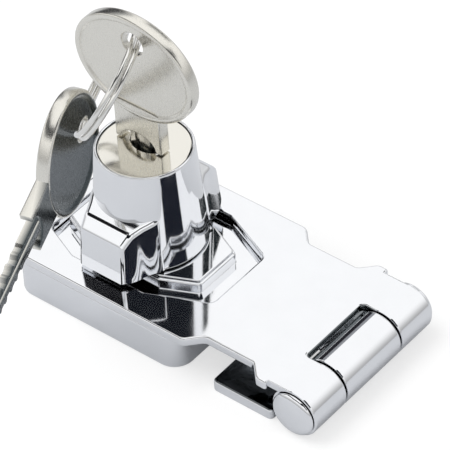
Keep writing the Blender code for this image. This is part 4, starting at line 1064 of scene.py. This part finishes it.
class HASP_OT_stage(bpy.types.Operator):
    """Build the pale floor, the soft lights, the dark cards and the camera."""

    bl_idname = "hasp.stage"
    bl_label = "Studio"

    def execute(self, context):
        settings = context.scene.hasp_stage
        self.world(context.scene, settings)
        self.floor()
        self.lights(settings)
        self.cards()
        self.camera(context.scene, settings)
        context.scene.view_settings.view_transform = "Standard"
        return {"FINISHED"}

    def world(self, scene, settings):
        """White to the camera, an even light to the object, and to metal a glow that grows with height."""
        scene.world = bpy.data.worlds.new("studio")
        scene.world.use_nodes = True
        tree = scene.world.node_tree
        rays = add_node(tree, "ShaderNodeLightPath")
        place = add_node(tree, "ShaderNodeTexCoord")
        split = add_node(tree, "ShaderNodeSeparateXYZ", {"Vector": place.outputs["Generated"]})
        tone = add_node(tree, "ShaderNodeMapRange", {
            "Value": split.outputs["Z"], "From Min": -0.05, "From Max": 0.6, "To Min": settings.horizon,
            "To Max": 1.1,
        }, interpolation_type="SMOOTHSTEP")
        mirrored = add_node(tree, "ShaderNodeMix", {
            "Factor": rays.outputs["Is Glossy Ray"], "A": settings.sky, "B": tone.outputs["Result"]})
        seen = add_node(tree, "ShaderNodeMix", {
            "Factor": rays.outputs["Is Camera Ray"], "A": mirrored.outputs["Result"], "B": 1.0})
        fill(tree, tree.nodes["Background"], {
            "Color": (1.0, 1.0, 1.0, 1.0), "Strength": seen.outputs["Result"]})

    def floor(self):
        """A pale floor that the camera sees part lit and part white, and that metal sees darker."""
        finish = bare_material("studio_floor")
        tree = finish.node_tree
        rays = add_node(tree, "ShaderNodeLightPath")
        shade = add_node(tree, "ShaderNodeMix", {
            "Factor": rays.outputs["Is Glossy Ray"], "A": (0.9, 0.9, 0.9, 1.0), "B": (0.54, 0.55, 0.57, 1.0),
        }, data_type="RGBA")
        lit = add_node(tree, "ShaderNodeBsdfDiffuse", {"Color": shade.outputs["Result"]})
        white = add_node(tree, "ShaderNodeEmission", {"Color": (1.0, 1.0, 1.0, 1.0)})
        share = add_node(tree, "ShaderNodeMath", {0: rays.outputs["Is Camera Ray"], 1: 0.6},
                         operation="MULTIPLY")
        blend = add_node(tree, "ShaderNodeMixShader", {
            "Fac": share.outputs["Value"], 1: lit.outputs["BSDF"], 2: white.outputs["Emission"]})
        add_node(tree, "ShaderNodeOutputMaterial", {"Surface": blend.outputs["Shader"]})
        sheet("floor", 3.0, 3.0, finish, Matrix.Translation((0.0, 0.0, FLOOR)))

    def cards(self):
        """The cards round the object, each facing the knob, and one dark card on the floor under the hinge
        that stands in for the shadow beneath the leaves.
        """
        for name, bearing, lift, wide, tall, colour in CARDS:
            width, height = (2.0 * CARD_AWAY * math.tan(math.radians(span / 2.0)) for span in (wide, tall))
            a, e = math.radians(bearing), math.radians(lift)
            toward = Vector((math.cos(a) * math.cos(e), math.sin(a) * math.cos(e), math.sin(e)))
            turn = (-toward).to_track_quat("Z", "Y").to_matrix().to_4x4()
            dark_card(name, width, height, colour, Matrix.Translation(CARD_AIM + toward * CARD_AWAY) @ turn)
        # Painted shadow: a dark card on the floor under the hinge, seen only by mirrors, stands in for the
        # shadow beneath the leaves.
        dark_card("card_under", 19.0 * MM, 28.0 * MM, (0.01, 0.011, 0.013),
                  Matrix.Translation((50.5 * MM, 0.0, FLOOR / 2)))

    def lights(self, settings):
        """A large soft light above and a weaker one in front."""
        aim = Vector((KNOB_X + 0.02, 0.0, 0.0))
        for name, place, size, power in (("key_light", (-0.25, -0.15, 0.6), 0.5, settings.key_light),
                                         ("fill_light", (0.5, -0.4, 0.4), 0.4, settings.key_light * 0.3)):
            light = bpy.data.lights.new(name, "AREA")
            light.size = size
            light.energy = power
            lamp = bpy.data.objects.new(name, light)
            bpy.context.scene.collection.objects.link(lamp)
            turn = (aim - Vector(place)).to_track_quat("-Z", "Y").to_matrix().to_4x4()
            lamp.matrix_world = Matrix.Translation(place) @ turn
            lamp.visible_glossy = False

    def camera(self, scene, settings):
        """The camera, turned so that the knob's axis at the leaf's top falls on its point of the image."""
        back = Vector((math.sin(BEARING) * math.cos(LIFT), -math.cos(BEARING) * math.cos(LIFT),
                       math.sin(LIFT)))
        right = Vector((math.cos(BEARING), math.sin(BEARING), 0.0))
        up = back.cross(right)
        focus = settings.lens / SENSOR * IMAGE
        aside, below = IMAGE / 2 - KNOB_IN_IMAGE[0], KNOB_IN_IMAGE[1] - IMAGE / 2
        u = math.cos(ROLL) * aside + math.sin(ROLL) * below
        v = -math.sin(ROLL) * aside + math.cos(ROLL) * below
        forward = (-back * focus + right * u + up * v).normalized()
        level = right * math.cos(ROLL) - up * math.sin(ROLL)
        level = (level - forward * level.dot(forward)).normalized()
        data = bpy.data.cameras.new("camera")
        data.lens = settings.lens
        data.sensor_width = SENSOR
        data.clip_start, data.clip_end = 0.01, 10.0
        camera = bpy.data.objects.new("camera", data)
        scene.collection.objects.link(camera)
        turn = Matrix((level, level.cross(forward), -forward)).transposed().to_4x4()
        place = Vector((KNOB_X, 0.0, LEAF_TOP)) + back * settings.distance
        camera.matrix_world = Matrix.Translation(place) @ turn
        scene.camera = camera


OPERATORS = (HASP_OT_staple, HASP_OT_leaf, HASP_OT_hinge, HASP_OT_knob, HASP_OT_plug, HASP_OT_keys,
             HASP_OT_ring, HASP_OT_inner_parts, HASP_OT_stage)

PROPERTIES = {
    "hasp_finish": HaspFinish, "hasp_leaf": HaspLeafSizes, "hasp_hinge": HaspHingeSizes,
    "hasp_staple": HaspStapleSizes, "hasp_knob": HaspKnobSizes, "hasp_keys": HaspKeySizes,
    "hasp_ring": HaspRingSizes, "hasp_stage": HaspStageSettings,
}


class HASP_PT_panel(bpy.types.Panel):
    """The list of the hasp's pieces in the sidebar."""

    bl_idname = "HASP_PT_panel"
    bl_label = "Locking hasp"
    bl_space_type = "VIEW_3D"
    bl_region_type = "UI"
    bl_category = "Hasp"

    def draw(self, context):
        for group in PROPERTIES:
            box = self.layout.box()
            values = getattr(context.scene, group)
            for name in values.bl_rna.properties.keys():
                if name not in ("rna_type", "name"):
                    box.prop(values, name)
        for operator in OPERATORS:
            self.layout.operator(operator.bl_idname)


def register():
    """Register the classes and put the sizes on the scene."""
    for kind in (*PROPERTIES.values(), *OPERATORS, HASP_PT_panel):
        bpy.utils.register_class(kind)
    for name, kind in PROPERTIES.items():
        setattr(bpy.types.Scene, name, PointerProperty(type=kind))


def unregister():
    """Take the sizes off the scene and the classes out again."""
    for name in PROPERTIES:
        delattr(bpy.types.Scene, name)
    for kind in reversed((*PROPERTIES.values(), *OPERATORS, HASP_PT_panel)):
        bpy.utils.unregister_class(kind)


def main():
    """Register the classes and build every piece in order."""
    register()
    bpy.ops.hasp.staple()
    bpy.ops.hasp.leaf()
    bpy.ops.hasp.hinge()
    bpy.ops.hasp.knob()
    bpy.ops.hasp.plug()
    bpy.ops.hasp.keys()
    bpy.ops.hasp.ring()
    bpy.ops.hasp.inner_parts()
    bpy.ops.hasp.stage()


if __name__ == "__main__":
    main()
